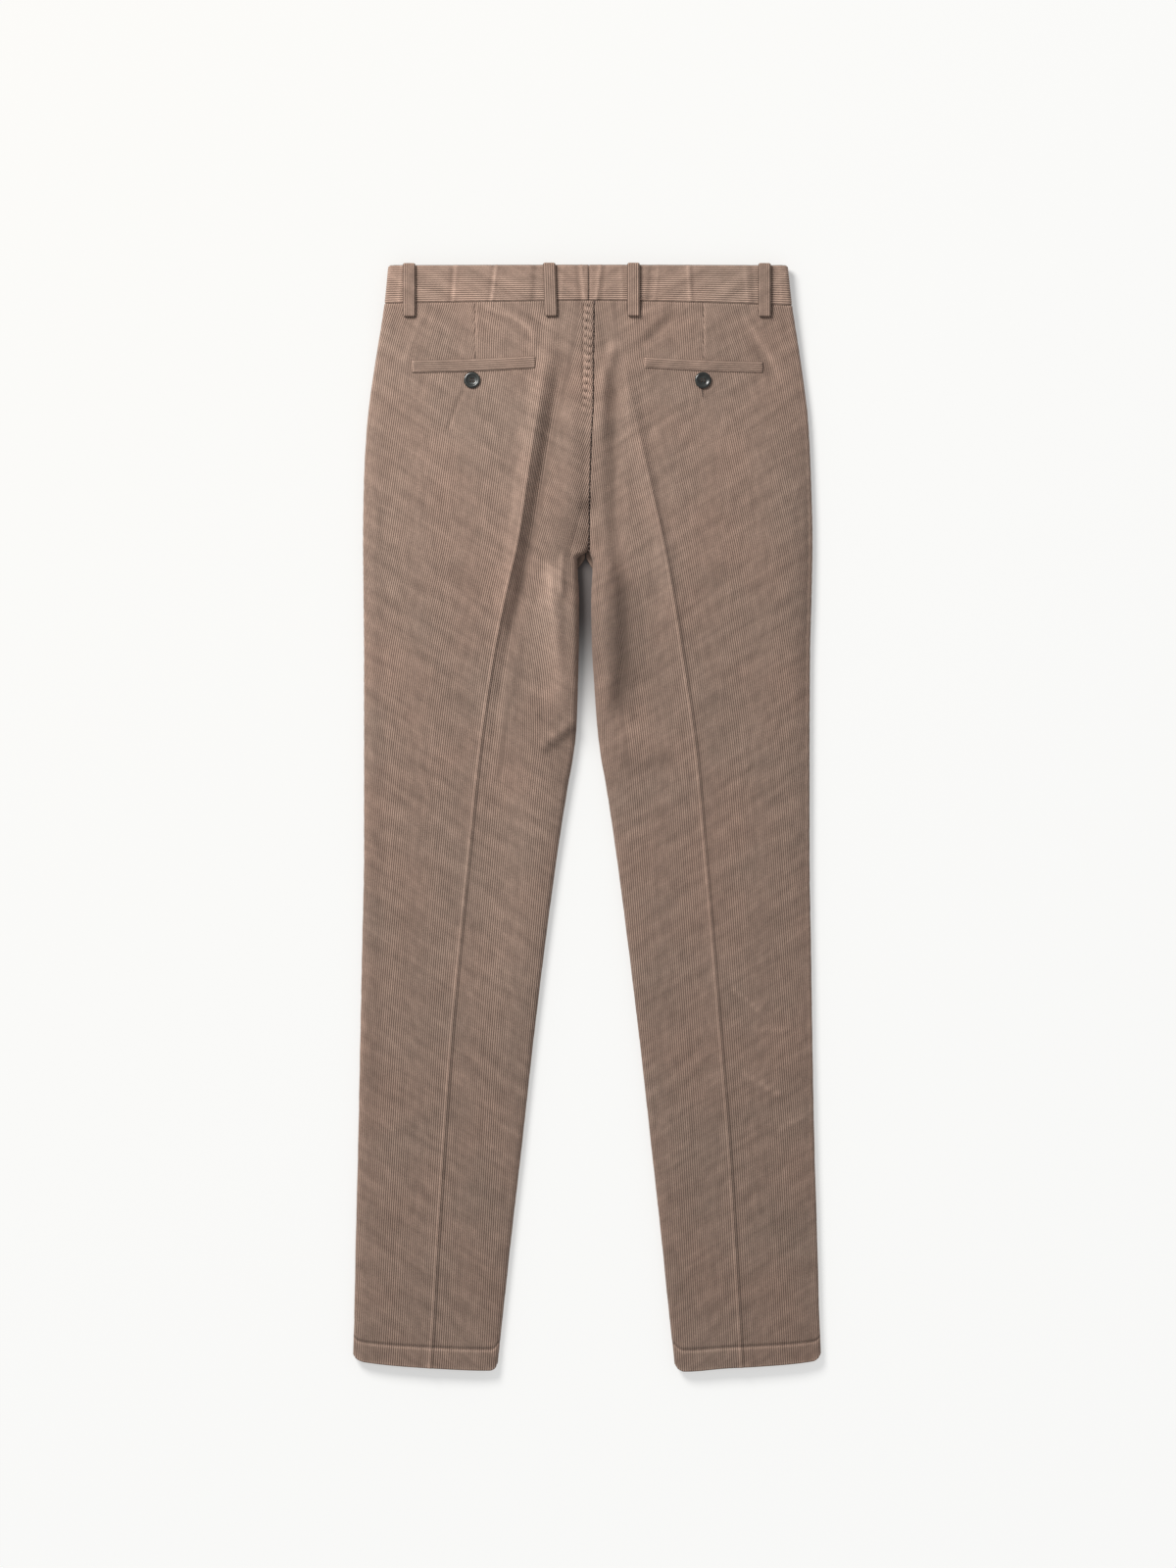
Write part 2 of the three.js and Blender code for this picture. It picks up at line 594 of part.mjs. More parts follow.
const trousers = new THREE.Group();
const backs = {};
for (const side of Object.keys(SIDES)) {
  const { inward } = SIDES[side];
  backs[side] = panel("back_" + side, BACK_ROWS, backRow, side, -inward);
  const front = panel("front_" + side, FRONT_ROWS, frontRow, side, inward);
  trousers.add(backs[side].mesh, front.mesh, waistband(side));
}
for (const loop of BACK_LOOPS) {
  const side = loop.x < 0 ? "left" : "right";
  const upper = backHeight(side, loop.x, 40) + BAND_PROUD;
  const lower = heightOn(backs[side].outer, loop.x, LOOP_FOOT);
  trousers.add(beltLoop(loop, upper, lower, 1, LOOP_ARCH));
}
for (const loop of FRONT_LOOPS) {
  const arch = BAND_UNDERSIDE - SEAM_GAP - LOOP_CLOTH;
  trousers.add(beltLoop(loop, BAND_UNDERSIDE, BAND_UNDERSIDE, -1, arch));
}
for (const each of WELTS) trousers.add(welt(each, backs[each.side].outer));
for (const each of POCKET_BUTTONS) trousers.add(pocketButton(each, backs[each.side].outer));
trousers.add(flyShield(FLY_SHIELD));
trousers.add(button("waist_button", place({ x: 0, y: 20, z: 0.1 }), new THREE.Vector3(0, 0, 1)));

export default trousers;
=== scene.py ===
# Corduroy trousers laid out flat with the back upwards, seen from straight above.
# The draft is in millimetres: x runs across from the centre line towards the wearer's right,
# y runs down from the waist edge to the hems, z runs up from the surface underneath.
import json
import math

import bpy
import numpy as np
from mathutils import Matrix, Vector
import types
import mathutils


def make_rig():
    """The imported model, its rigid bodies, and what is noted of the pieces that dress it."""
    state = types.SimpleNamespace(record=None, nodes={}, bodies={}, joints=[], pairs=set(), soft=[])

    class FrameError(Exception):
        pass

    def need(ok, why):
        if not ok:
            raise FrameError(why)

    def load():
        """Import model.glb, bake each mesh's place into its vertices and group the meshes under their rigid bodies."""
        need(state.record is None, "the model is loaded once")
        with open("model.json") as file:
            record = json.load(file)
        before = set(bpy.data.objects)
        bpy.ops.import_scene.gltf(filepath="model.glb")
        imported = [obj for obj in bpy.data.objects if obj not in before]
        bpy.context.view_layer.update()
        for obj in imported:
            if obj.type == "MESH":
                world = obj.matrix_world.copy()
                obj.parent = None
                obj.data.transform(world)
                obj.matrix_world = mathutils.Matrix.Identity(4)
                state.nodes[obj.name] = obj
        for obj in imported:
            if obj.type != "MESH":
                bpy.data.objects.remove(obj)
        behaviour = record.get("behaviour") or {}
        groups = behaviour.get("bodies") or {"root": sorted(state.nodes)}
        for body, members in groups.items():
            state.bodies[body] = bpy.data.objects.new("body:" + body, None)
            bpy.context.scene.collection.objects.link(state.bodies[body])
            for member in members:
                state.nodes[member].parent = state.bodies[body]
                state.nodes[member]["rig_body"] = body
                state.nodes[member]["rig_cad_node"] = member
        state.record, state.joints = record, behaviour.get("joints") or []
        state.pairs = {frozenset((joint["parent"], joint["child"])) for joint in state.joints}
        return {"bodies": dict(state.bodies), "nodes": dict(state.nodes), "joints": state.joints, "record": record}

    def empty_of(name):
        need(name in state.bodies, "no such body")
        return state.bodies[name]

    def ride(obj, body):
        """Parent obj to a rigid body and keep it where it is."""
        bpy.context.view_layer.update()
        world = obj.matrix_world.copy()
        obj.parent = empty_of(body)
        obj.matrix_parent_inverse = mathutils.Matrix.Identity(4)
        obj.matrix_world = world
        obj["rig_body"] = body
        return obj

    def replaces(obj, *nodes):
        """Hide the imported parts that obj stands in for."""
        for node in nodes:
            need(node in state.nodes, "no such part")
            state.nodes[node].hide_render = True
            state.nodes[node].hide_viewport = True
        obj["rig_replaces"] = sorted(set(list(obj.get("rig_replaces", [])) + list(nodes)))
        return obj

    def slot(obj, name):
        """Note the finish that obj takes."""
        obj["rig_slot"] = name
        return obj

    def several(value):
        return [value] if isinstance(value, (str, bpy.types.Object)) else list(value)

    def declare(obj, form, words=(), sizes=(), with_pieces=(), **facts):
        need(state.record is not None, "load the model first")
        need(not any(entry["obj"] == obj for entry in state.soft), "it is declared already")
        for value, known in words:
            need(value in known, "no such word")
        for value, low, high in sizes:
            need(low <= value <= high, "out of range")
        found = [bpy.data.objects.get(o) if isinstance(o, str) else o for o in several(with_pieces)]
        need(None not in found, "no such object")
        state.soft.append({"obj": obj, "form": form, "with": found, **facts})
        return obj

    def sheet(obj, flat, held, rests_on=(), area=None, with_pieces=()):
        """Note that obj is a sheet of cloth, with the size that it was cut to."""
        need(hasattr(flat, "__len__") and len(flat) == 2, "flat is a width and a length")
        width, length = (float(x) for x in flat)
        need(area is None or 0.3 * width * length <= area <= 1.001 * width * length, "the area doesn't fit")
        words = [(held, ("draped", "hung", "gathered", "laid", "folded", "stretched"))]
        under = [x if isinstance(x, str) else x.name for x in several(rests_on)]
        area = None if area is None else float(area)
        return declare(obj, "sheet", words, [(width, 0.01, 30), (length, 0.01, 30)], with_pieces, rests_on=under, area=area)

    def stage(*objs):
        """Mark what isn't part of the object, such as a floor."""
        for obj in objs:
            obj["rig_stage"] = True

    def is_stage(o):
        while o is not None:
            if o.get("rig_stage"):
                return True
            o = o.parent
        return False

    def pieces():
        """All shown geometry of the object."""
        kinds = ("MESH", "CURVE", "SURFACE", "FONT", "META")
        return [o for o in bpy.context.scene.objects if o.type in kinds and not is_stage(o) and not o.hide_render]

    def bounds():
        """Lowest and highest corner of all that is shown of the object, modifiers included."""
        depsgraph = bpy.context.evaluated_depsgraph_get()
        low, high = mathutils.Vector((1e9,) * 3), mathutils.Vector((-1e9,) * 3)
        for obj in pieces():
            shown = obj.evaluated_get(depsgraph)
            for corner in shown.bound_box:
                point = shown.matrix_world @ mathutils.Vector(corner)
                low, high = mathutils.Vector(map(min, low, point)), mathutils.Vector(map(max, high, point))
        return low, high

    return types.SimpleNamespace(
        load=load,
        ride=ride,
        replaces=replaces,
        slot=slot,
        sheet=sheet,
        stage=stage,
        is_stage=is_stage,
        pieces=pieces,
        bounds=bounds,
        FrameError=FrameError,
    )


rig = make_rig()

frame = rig.load()
cad_box = [list(map(float, corner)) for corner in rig.bounds()]

MM = 0.001
CENTRE_X = -1.0
CENTRE_Y = 565.2

# Cloth
CLOTH = 1.5
HEM_CLOTH = 2.6
BAND_CLOTH = 2.8
WELT_CLOTH = 1.4
LOOP_CLOTH = 1.5
SEAM_GAP = 0.3

# Wales: spacing, and the face's height and tone at four places across one wale. The tone is painted light: painted
# highlight on the crest, painted shade in the valley and where a wale is cut off, and a middle tone where the wales
# fade out
WALE = 2.2
WALE_PLACES = (0.0, 0.27, 0.5, 0.73)
WALE_HEIGHTS = (0.0, -0.14, -0.56, -0.14)
WALE_TONES = (1.0, 0.72, 0.0, 0.62)
VALLEY = -0.56
FADED_HEIGHT = -0.2
FADED_TONE = 0.47

# Waistband, belt loops and side folds
WAIST_TOP = 1.0
BAND_HEIGHT = 39.0
BAND_SEAM = 40.0
BAND_PROUD = 0.5
# BAND_LIGHT makes the whole waistband a little lighter. BAND_CREASE_LIGHT is painted light: painted highlight on the
# band's raised creases, painted shade in its sunk creases and centre seam
BAND_LIGHT = 0.3
BAND_CREASE_LIGHT = 0.75
BAND_CREASE_STRENGTH = 1.4
BAND_UNDERSIDE = 2.7
BAND_FOLD = 5.0
BAND_SEAM_X = 1.0
FRONT_CLOSING_X = 12.0
LOOP_WIDTH = 12.6
LOOP_ARCH = 2.5
LOOP_TOP = 0.6
LOOP_PROUD = 1.4
LOOP_FOOT = 54.0
FOLD = 4.5
INNER_FOLD = 7.0
SEAM_HEIGHT = 4.2
FRONT_RISE_END = 110.0
FORK_BACK = {"left": 295.0, "right": 298.0}
FORK_FRONT = {"left": 307.0, "right": 307.0}
HEM_HEIGHT = 22.0
HEM_LINE = 1126.0
HEM_TOP = HEM_LINE - HEM_HEIGHT
FELL_WIDTH = 11.0
PUCKER = 1.6
PUCKER_PITCH = 7.8
DART_TIP = 96.0

# Side seams, creases and heights of the back: y, left and right side seam, left and right
# crease, height at the rim and on the two creases
SECTIONS = np.array([
    (0, -204, 204, -29, 19, 11.5, 15.5, 15.5),
    (40, -208, 208.5, -32, 25, 11.5, 15.5, 15.5),
    (70, -212.5, 213, -39, 31, 10.5, 17, 16.5),
    (100, -217.5, 217.5, -43.5, 37, 9.5, 19, 18),
    (160, -225.5, 225, -52.5, 49.5, 9, 22, 20),
    (220, -229, 228, -61.5, 62.5, 9, 24, 22),
    (280, -230, 229.5, -70.5, 76, 9, 24, 22),
    (340, -229.5, 228.5, -84, 87, 9, 22.5, 21),
    (400, -229, 227, -96, 96.5, 8.5, 19.5, 18.5),
    (500, -229, 226.5, -110.5, 110.5, 8.5, 16, 15.5),
    (600, -229, 226.5, -121, 119.5, 8.5, 13.8, 13.8),
    (700, -231, 228, -131, 128, 8.5, 12.6, 12.6),
    (800, -233, 229.5, -140, 136, 8.5, 11.8, 11.8),
    (900, -235, 231.5, -147, 144, 8.5, 11.4, 11.4),
    (1000, -237.5, 234.5, -153.5, 150, 8.5, 11, 11),
    (1080, -239, 236.5, -158, 154.5, 8.5, 11, 11),
    (1126, -240, 238, -161, 157, 8.5, 11.4, 11.4),
], dtype=float)
SECTION_COLUMNS = ("y", "out_left", "out_right", "crease_left", "crease_right", "rim",
                   "ridge_left", "ridge_right")

# Inner edges of the legs below the crotch: y, left, right, height of the inner thigh
INNER_LEG = np.array([
    (290, -11, 6, 15),
    (310, -10.5, 4.8, 17),
    (342, -9, 3.2, 17.5),
    (386, -9.2, 3.8, 16.5),
    (431, -10.2, 6.4, 14.5),
    (475, -11.8, 9.6, 12.5),
    (502, -15, 13, 12.2),
    (530, -20, 18, 11.8),
    (600, -31, 28.5, 11),
    (700, -44.5, 41.5, 10.4),
    (800, -56.5, 53.5, 10),
    (900, -67.5, 64.5, 9.8),
    (1000, -79, 75.5, 9.6),
    (1080, -87.5, 83.5, 9.6),
    (1126, -92, 88.5, 9.6),
], dtype=float)
INNER_COLUMNS = ("y", "leg_left", "leg_right", "top")

# The seat seam: y, x, height. The centre front seam: y, x
SEAT_SEAM = np.array([
    (0, 6.5, 15.5), (40, 6.5, 15.5), (85, 6, 18), (142, 5.5, 19), (177, 3.7, 18.5),
    (232, 2, 17.5), (270, 1.4, 16), (300, 1, 15),
], dtype=float)
FRONT_SEAM = np.array([(0, 0), (150, -0.5), (310, -2.5)], dtype=float)

# How far the waistband seam and the hems stray from a straight line: x, y
WAIST_SEAM = np.array([(-208, 40), (-100, 38.5), (0, 37.5), (100, 39), (208, 42)], dtype=float)
HEM_STRAY = {
    "left": np.array([(-240, -13), (-236, -8.5), (-228, -5.5), (-160, 0.5), (-100, 3),
                      (-95, 1), (-92, -4.5)], dtype=float),
    "right": np.array([(88.5, -3), (92, 1.5), (98, 4), (142, 0.5), (171, -1), (230, -6.5),
                       (235, -9.5), (238, -14)], dtype=float),
}

# Folds of the back: a line, how high it stands (a trough below nought), and its reach
FOLDS = [
    ("beside left crease", [(-18, 90), (-53, 270), (-76, 390)], -5, 15),
    ("left of seat seam", [(-22, 110), (-16, 200), (-8, 262)], 2, 11),
    ("dip at the fork", [(2.5, 235), (1.2, 285), (0, 302)], -4.5, 7),
    ("right of seat seam", [(28, 75), (15, 115), (9, 190)], 2, 8),
    ("right seat valley", [(27, 90), (25, 230), (33, 330)], -6, 8.5),
    ("right thigh valley", [(31, 285), (36, 350), (37, 400), (31, 475)], -6, 8),
    ("right thigh slope", [(46, 300), (52, 380), (48, 470)], -2.5, 16),
    ("right thigh roll", [(13, 296), (18, 380), (18, 480)], 2.2, 7),
    ("left thigh fold", [(-28, 300), (-38, 345), (-32, 425)], 3.2, 9),
    ("beside left side seam", [(-214, 130), (-215, 500), (-221, 980)], -1, 12),
]
SMALL_FOLDS = [
    ("roll of left crease", [(-32, 45), (-53, 160), (-72, 280), (-95, 400)], 2.2, 9),
    ("roll of right crease", [(26, 70), (46, 160), (72, 280), (86, 350), (96, 420)], 1.6, 8),
    ("drop beside right crease", [(44, 100), (68, 200), (88, 300)], -1.2, 8),
    ("left of left thigh valley", [(-44, 296), (-62, 380), (-74, 470)], -1.4, 9),
    ("foot of left crease trough", [(-72, 340), (-88, 400), (-100, 470)], -1.6, 10),
    ("left thigh hollow", [(-22, 320), (-23, 380), (-22, 420)], -0.8, 6),
    ("drop beside left crease", [(-26, 92), (-57, 270), (-82, 400), (-103, 520)], -1.7, 6),
    ("left thigh edge fold", [(-26, 292), (-27, 318), (-27, 345)], 0.9, 3.5),
    ("left thigh low fold", [(-8, 461), (-27, 477), (-50, 493)], 1.3, 4.5),
    ("under left band", [(-116, 42), (-78, 55), (-59, 68), (-52, 92)], 0.5, 3),
    ("left hip fold", [(-170, 50), (-182, 78), (-193, 104)], 0.45, 5),
    ("under left button", [(-124, 124), (-133, 142), (-145, 174)], -0.6, 2.2),
    ("left pocket sag", [(-60, 112), (-118, 134), (-172, 116)], 0.5, 9),
    ("right hip fold", [(160, 54), (187, 100), (200, 126)], -0.5, 5),
    ("right band trough", [(91, 44), (74, 62), (53, 82)], -0.7, 6),
    ("right band ridge", [(86, 42), (62, 50), (37, 52)], 0.5, 4),
    ("under right welt", [(56, 173), (91, 151), (110, 144)], -0.55, 4),
    ("under right welt far", [(100, 146), (140, 136), (176, 134)], -0.35, 5),
    ("right thigh lip", [(22, 462), (46, 476), (80, 470)], 0.8, 8),
    ("right knee fold one", [(143, 735), (160, 748), (178, 764)], 0.5, 4),
    ("right knee fold two", [(163, 782), (190, 780), (214, 777)], 0.4, 4),
    ("right knee fold three", [(153, 823), (178, 836), (202, 850)], 0.5, 4.5),
    ("right shin fold", [(194, 880), (208, 876), (224, 868)], 0.4, 4),
    ("right inner shin fold", [(69, 879), (78, 875), (86, 871)], 0.4, 4),
    ("left knee fold", [(-205, 610), (-170, 640), (-140, 652)], 0.35, 7),
    ("left shin fold", [(-200, 880), (-170, 866), (-150, 862)], 0.3, 7),
]

# Painted highlight, or painted shade below nought, along ridges, fold crests, valleys, hollows and under lips and
# bands, with a few broad patches made lighter or darker: a line, how much, and its reach
PAINTED_SHADE_LINES = [
    ("left thigh ridge", [(-43, 290), (-36, 350), (-30, 400), (-31, 450)], 0.8, 5),
    ("left thigh edge", [(-27, 290), (-27, 320), (-27, 350)], 0.6, 3),
    ("left inner thigh", [(-32, 300), (-34, 390), (-42, 470)], 0.65, 14),
    ("right seat valley", [(27, 105), (26, 230), (24, 262)], -0.4, 5),
    ("right seat ridge", [(31, 66), (15, 113), (8, 200)], 0.6, 5),
    ("left crease flank", [(-38, 50), (-57, 160), (-75, 280), (-93, 390), (-112, 520)], 0.35, 9),
    ("right crease band", [(31, 66), (48, 170), (63, 250), (76, 320), (88, 370)], 0.3, 8),
    ("right thigh dark", [(31, 290), (37, 350), (39, 410), (35, 480)], -0.85, 10),
    ("right thigh grey", [(48, 310), (56, 380), (52, 450)], -0.3, 14),
    ("beside left crease", [(-22, 105), (-45, 240), (-66, 330), (-88, 420)], -0.1, 12),
    ("inside left rim", [(-208, 100), (-213, 300), (-214, 600), (-221, 980)], -0.3, 8),
    ("right thigh lip", [(28, 470), (48, 480), (88, 472)], 0.35, 8),
    ("under right thigh lip", [(26, 498), (54, 512), (92, 500)], -0.35, 9),
    ("under left band", [(-116, 42), (-78, 55), (-59, 68), (-52, 92)], 0.6, 2.4),
    ("under left band dark", [(-74, 48), (-54, 60), (-44, 84)], -0.35, 5),
    ("left hip", [(-168, 48), (-180, 78), (-192, 106)], 0.5, 3),
    ("left hip low", [(-150, 60), (-138, 74), (-124, 96)], 0.3, 2.4),
    ("right hip", [(158, 50), (187, 98), (201, 128)], 0.5, 2.8),
    ("right hip dark", [(152, 58), (176, 98), (190, 128)], -0.3, 4),
    ("right band dark", [(91, 46), (74, 62), (53, 82)], -0.6, 4),
    ("right band light", [(84, 44), (62, 52), (36, 54)], 0.5, 4),
    ("right of seat seam", [(8, 46), (14, 80), (13, 110)], -0.35, 5),
    ("right knee one", [(143, 735), (160, 748), (178, 764)], 0.7, 2.2),
    ("right knee two", [(163, 781), (190, 780), (214, 777)], 0.5, 2.2),
    ("right knee three", [(153, 823), (178, 836), (202, 850)], 0.7, 2.2),
    ("right shin", [(194, 880), (208, 876), (224, 868)], 0.4, 2.2),
    ("right inner shin", [(69, 879), (78, 875), (86, 871)], 0.5, 2.0),
    ("left knee", [(-52, 480), (-80, 640), (-92, 800)], 0.3, 26),
    ("left thigh low", [(-8, 468), (-27, 485), (-52, 502)], -0.8, 4.5),
    ("under left button", [(-125, 126), (-134, 145), (-145, 172)], -0.35, 1.5),
    ("right knee inner", [(66, 560), (80, 561), (100, 559)], -0.4, 2.0),
]

# Press crease on each leg: how high its edge stands, how far it reaches to its left and right, and between which rows
# it, the groove beside it, and its painted highlight and painted shade set in
CREASE_RISE = 1.3
CREASE_REACH = 3.4
CREASE_DROP = 1.3
CREASE_START = (60, 320)
GROOVE_START = (300, 520)
CREASE_LIGHT_START = (80, 320)
CREASE_DARK_START = (120, 300)
ROUND_REACH = 10.0
SMALL_FOLD_STRENGTH = 1.7
LINE_FADE = 0.2

# Soft lines beside another line: how far off it, how much they add and their reach.
# Height beside the crease, the hem's seam, the dart, the seat seam and the waistband's edges
CREASE_GROOVE = (3.0, -0.3, 1.5)
HEM_SINK = (0.0, -0.8, 1.6)
HEM_FULLNESS = (9.0, 0.45, 7.0)
DART_LIP = (1.6, 0.5, 1.6)
DART_SINK = (0.0, -0.8, 0.8)
SEAT_SINK = (0.0, -0.4, 0.9)
FELL_SINK = (FELL_WIDTH, -1.0, 1.0)
BAND_SEAM_SINK = (0.0, -0.7, 0.9)
BAND_TOP_ROLL = (0.0, -1.1, 1.1)
BAND_FOOT_SINK = (0.0, -0.7, 1.4)
# Painted highlight on the crease's lit side and painted shade on its far side, painted highlight beside the dart,
# along the side seam's rim, at the hem's seam with painted shade just above it, at the hem's edge and at the foot of
# the band, and painted highlight and shade on the puckers
CREASE_LIGHT = (-1.0, 0.65, 1.5)
CREASE_DARK = (2.6, -0.5, 1.6)
DART_LIGHT = (1.2, 0.5, 1.5)
RIM_LIGHT = (3.0, 0.2, 4.0)
HEM_SEAM_LIGHT = (1.8, 0.75, 1.4)
HEM_SEAM_DARK = (-0.6, -0.8, 1.4)
HEM_EDGE_LIGHT = (-1.5, 0.4, 1.6)
BAND_FOOT_LIGHT = (0.96, 0.4, 0.02)
PUCKER_LIGHT = 0.9

# Rows between which the dart, the seat seam, its puckers and its felled edge set in or end,
# and where the panels' rows bend with the waistband and with the hem
DART_START = (38, 44)
SEAT_START = (38, 46)
SEAT_END = (284, 296)
PUCKERS_END = (130, 168)
PUCKER_SLANT = 0.35
FELL_END = (110, 170)
TOP_BEND_END = 100
HEM_BEND_START = 1040

# Lines that part the cloth's runs of wales, and lines that each run's wales follow, down each
# back panel. A run's wales are cut off where they meet its edge, as at a dart or a deep fold.
DART_X = {"left": -115.0, "right": 117.5}
TROUGH = {
    "left": np.array([(0, -8), (40, -10), (95, -18), (180, -36), (270, -53), (370, -74),
                      (430, -82)], dtype=float),
    "right": np.array([(0, 26), (60, 27), (100, 28), (230, 25), (330, 36), (398, 39),
                       (455, 33)], dtype=float),
}
INNER_RUN = {
    "left": np.array([(0, 12), (40, 0), (285, -75), (305, -80), (330, -79), (440, -64),
                      (480, -63), (530, -68)], dtype=float),
    "right": np.array([(0, 5), (40, 10), (282, 39), (305, 41), (330, 39), (450, 22),
                       (490, 21), (530, 25)], dtype=float),
}

# Runs of wales: how softly they fade into each other, how near a run's edge a line is snapped
# to it, how the outer and middle runs lean off the crease above the dart's tip, and the rows
# below which the trough and the inner run keep step with the middle run
RUN_FADE = 5.0
RUN_SNAP = 0.12
OUTER_LEAN = {"left": 0.11, "right": -0.11}
MIDDLE_LEAN = {"left": -0.1, "right": 0.12}
TROUGH_END = 455.0
RUN_JOIN = 530.0
SAME_PLACE = 1e-4
TINY = 1e-6

# The two legs: the direction inwards in x, and how clearly their wales stand out. The right leg's weaker wale contrast
# is painted light, for how the light falls on each leg
SIDES = {"left": 1.0, "right": -1.0}
WALE_CONTRAST = {"left": 1.0, "right": 0.82}
WALE_UNEVENNESS = 0.03

# Rows down a panel: from, to, and their spacing as a share of the panel's own
ROW_STEPS = ((BAND_SEAM, 172, 0.5), (172, 300, 0.9), (300, 510, 1.0), (510, 720, 2.1),
             (720, 900, 1.0), (900, HEM_TOP - 6, 2.0), (HEM_TOP - 6, HEM_LINE + 0.01, 0.25))
# Panels: spacing of the rows, columns of the inner face, and seeds of the wales' unevenness
PANEL_ROWS = {"back": 5.0, "front": 11.0}
PANEL_COLUMNS = {"back": 64, "front": 30}
PANEL_SEEDS = {("back", "left"): 3, ("back", "right"): 5, ("front", "left"): 11, ("front", "right"): 13}
# Points along a panel's side fold, each half of its face and its inner edge, and along the
# waistband's back and front
FOLD_POINTS = 13
FACE_POINTS = 110
EDGE_POINTS = 17
BAND_POINTS = 110
BAND_FRONT_POINTS = 40

# Belt loops: name, x, and how far the foot lies to one side. The points along a loop, and more
# of them near its two bends
BACK_LOOPS = (("loop_back_1", -182.2, 0.0), ("loop_back_2", -39.5, 1.8),
              ("loop_back_3", 46.3, 0.0), ("loop_back_4", 179.8, 0.0))
FRONT_LOOPS = (("loop_front_1", -104.0, 0.0), ("loop_front_2", 104.0, 0.0))
LOOP_POINTS = 60
LOOP_BEND = 9.0
LOOP_BEND_POINTS = 16
LOOP_ROLL = 0.8
# Painted highlight along a loop's rolled edges
LOOP_EDGE_HIGHLIGHT = 0.25
ROLL_REACH = 0.9
STRIP_MARGIN = 0.15
# The cut edges of the band, loops and welts get a darker tone: painted shade
STRIP_EDGE_TONE = 0.3

# Pocket welts: name, side, x of the two ends, y of the top edge at both, and height
WELTS = (("welt_left", "left", -179.0, -54.0, 98.3, 94.2, 12.8),
         ("welt_right", "right", 57.5, 178.0, 95.3, 99.7, 10.8))
WELT_POINTS = 90
WELT_SAG = 0.8
WELT_CROWN = 0.2
WELT_LIFT = 0.1
WELT_ROLL = 0.7
WELT_END_REACH = 1.0
WELT_UNDERSIDE = 0.6 * SEAM_GAP
# Painted highlight along the welt's rolled edges and ends, and painted shade over the whole welt
WELT_EDGE_HIGHLIGHT = 1.2
WELT_SHADE = 0.12

# Pocket buttons: name, side, x, y. Their profile goes from the middle of the face out and back
# to the middle underneath: radius and height, for a button of radius 8
POCKET_BUTTONS = (("pocket_button_left", "left", -118.0, 119.0),
                  ("pocket_button_right", "right", 117.0, 119.0))
BUTTON_PROFILE = ((0.0, 1.15), (3.9, 1.15), (4.7, 1.35), (5.3, 1.95), (6.1, 2.25), (7.0, 2.15),
                  (7.7, 1.7), (8.0, 1.1), (7.8, 0.5), (7.2, 0.1), (6.4, 0.0), (0.0, 0.0))
BUTTON_PROFILE_RADIUS = 8
BUTTON_RADIUS = 8.4
BUTTON_SIDES = 64
BUTTON_REST = 6
BUTTON_LIFT = 0.1
BUTTON_SHARP = 40
HOLE_REACH = 1.4
HOLE_RADIUS = 0.95
HOLE_SIDES = 16
HOLE_ENDS = (-2.0, 5.0)
BAR_HEIGHT = 1.2
FLY_WIDTH = 32

# Cloth colours on a wale's crest, with painted highlight, and in its valley, with painted shade, the tone of the inner
# face, and how much the painted light and shade of the pieces lighten or darken the cloth
CREST_COLOUR = (0.408, 0.284, 0.2245)
VALLEY_COLOUR = (0.029, 0.0188, 0.0145)
INNER_TONE = 0.6
PAINTED_SHADE_GAIN = 0.45
# Tints of the cloth and tones of the buttons, each a position in the noise and a colour
TINTS = ((0.35, (0.93, 0.97, 0.98)), (0.68, (1.06, 1.0, 0.985)))
HORN_TONES = ((0.4, (0.006, 0.007, 0.006)), (0.75, (0.03, 0.034, 0.03)))
# Noises: size and detail
PATCH_NOISE = (38.0, 4.0)
TINT_NOISE = (11.0, 3.0)
PILE_NOISE = (1500.0, 2.0)
WORN_NOISE = (160.0, 3.0)
BAND_NOISE = (1.0, 2.0)
TWIST_NOISE = (2500.0, 2.0)
HORN_NOISE = (180.0, 4.0)
PILE_STRETCH = (1.0, 0.35, 1.0)
# Bands in the pile: their slant, their length and spacing in metres, and how much they show
BAND_TURN = math.radians(32)
BAND_SIZE = (0.07, 0.0095, 1.0)
BAND_TONE = 0.13

# Lights and floor, in metres: light that each watt of the key gives at a metre, the floor's
# own tone and how white it looks
KEY_PLACE = (-1.3, 1.75, 1.7)
KEY_AIM = (0.0, -0.15, 0.0)
KEY_POWER = 84.0
KEY_SIZE = 1.15
KEY_COLOUR = (1.0, 0.985, 0.96)
KEY_REACH = 0.087
WORLD_STRENGTH = 0.42
BACKDROP = (1, 1, 0.99)
FLOOR_HALF = 12.0
FLOOR_LEVEL = -0.0004
FLOOR_TONE = 0.55
FLOOR_WHITE = 0.925
# The floor between the thighs has a painted shadow: its colour is darker and none of the glow reaches it
SHADE_PLACE = (0.0, 0.3, 0.0)
SHADE_SIZE = (0.2, 0.25, 1.0)
SHADE_TONE = 0.16

# The picture takes in 1200 by 1600 mm round this point of the draft
VIEW_X = 0.0
VIEW_Y = 530.0
VIEW_HEIGHT = 1604.0
CAMERA_DISTANCE = 3.4
SENSOR = 36.0

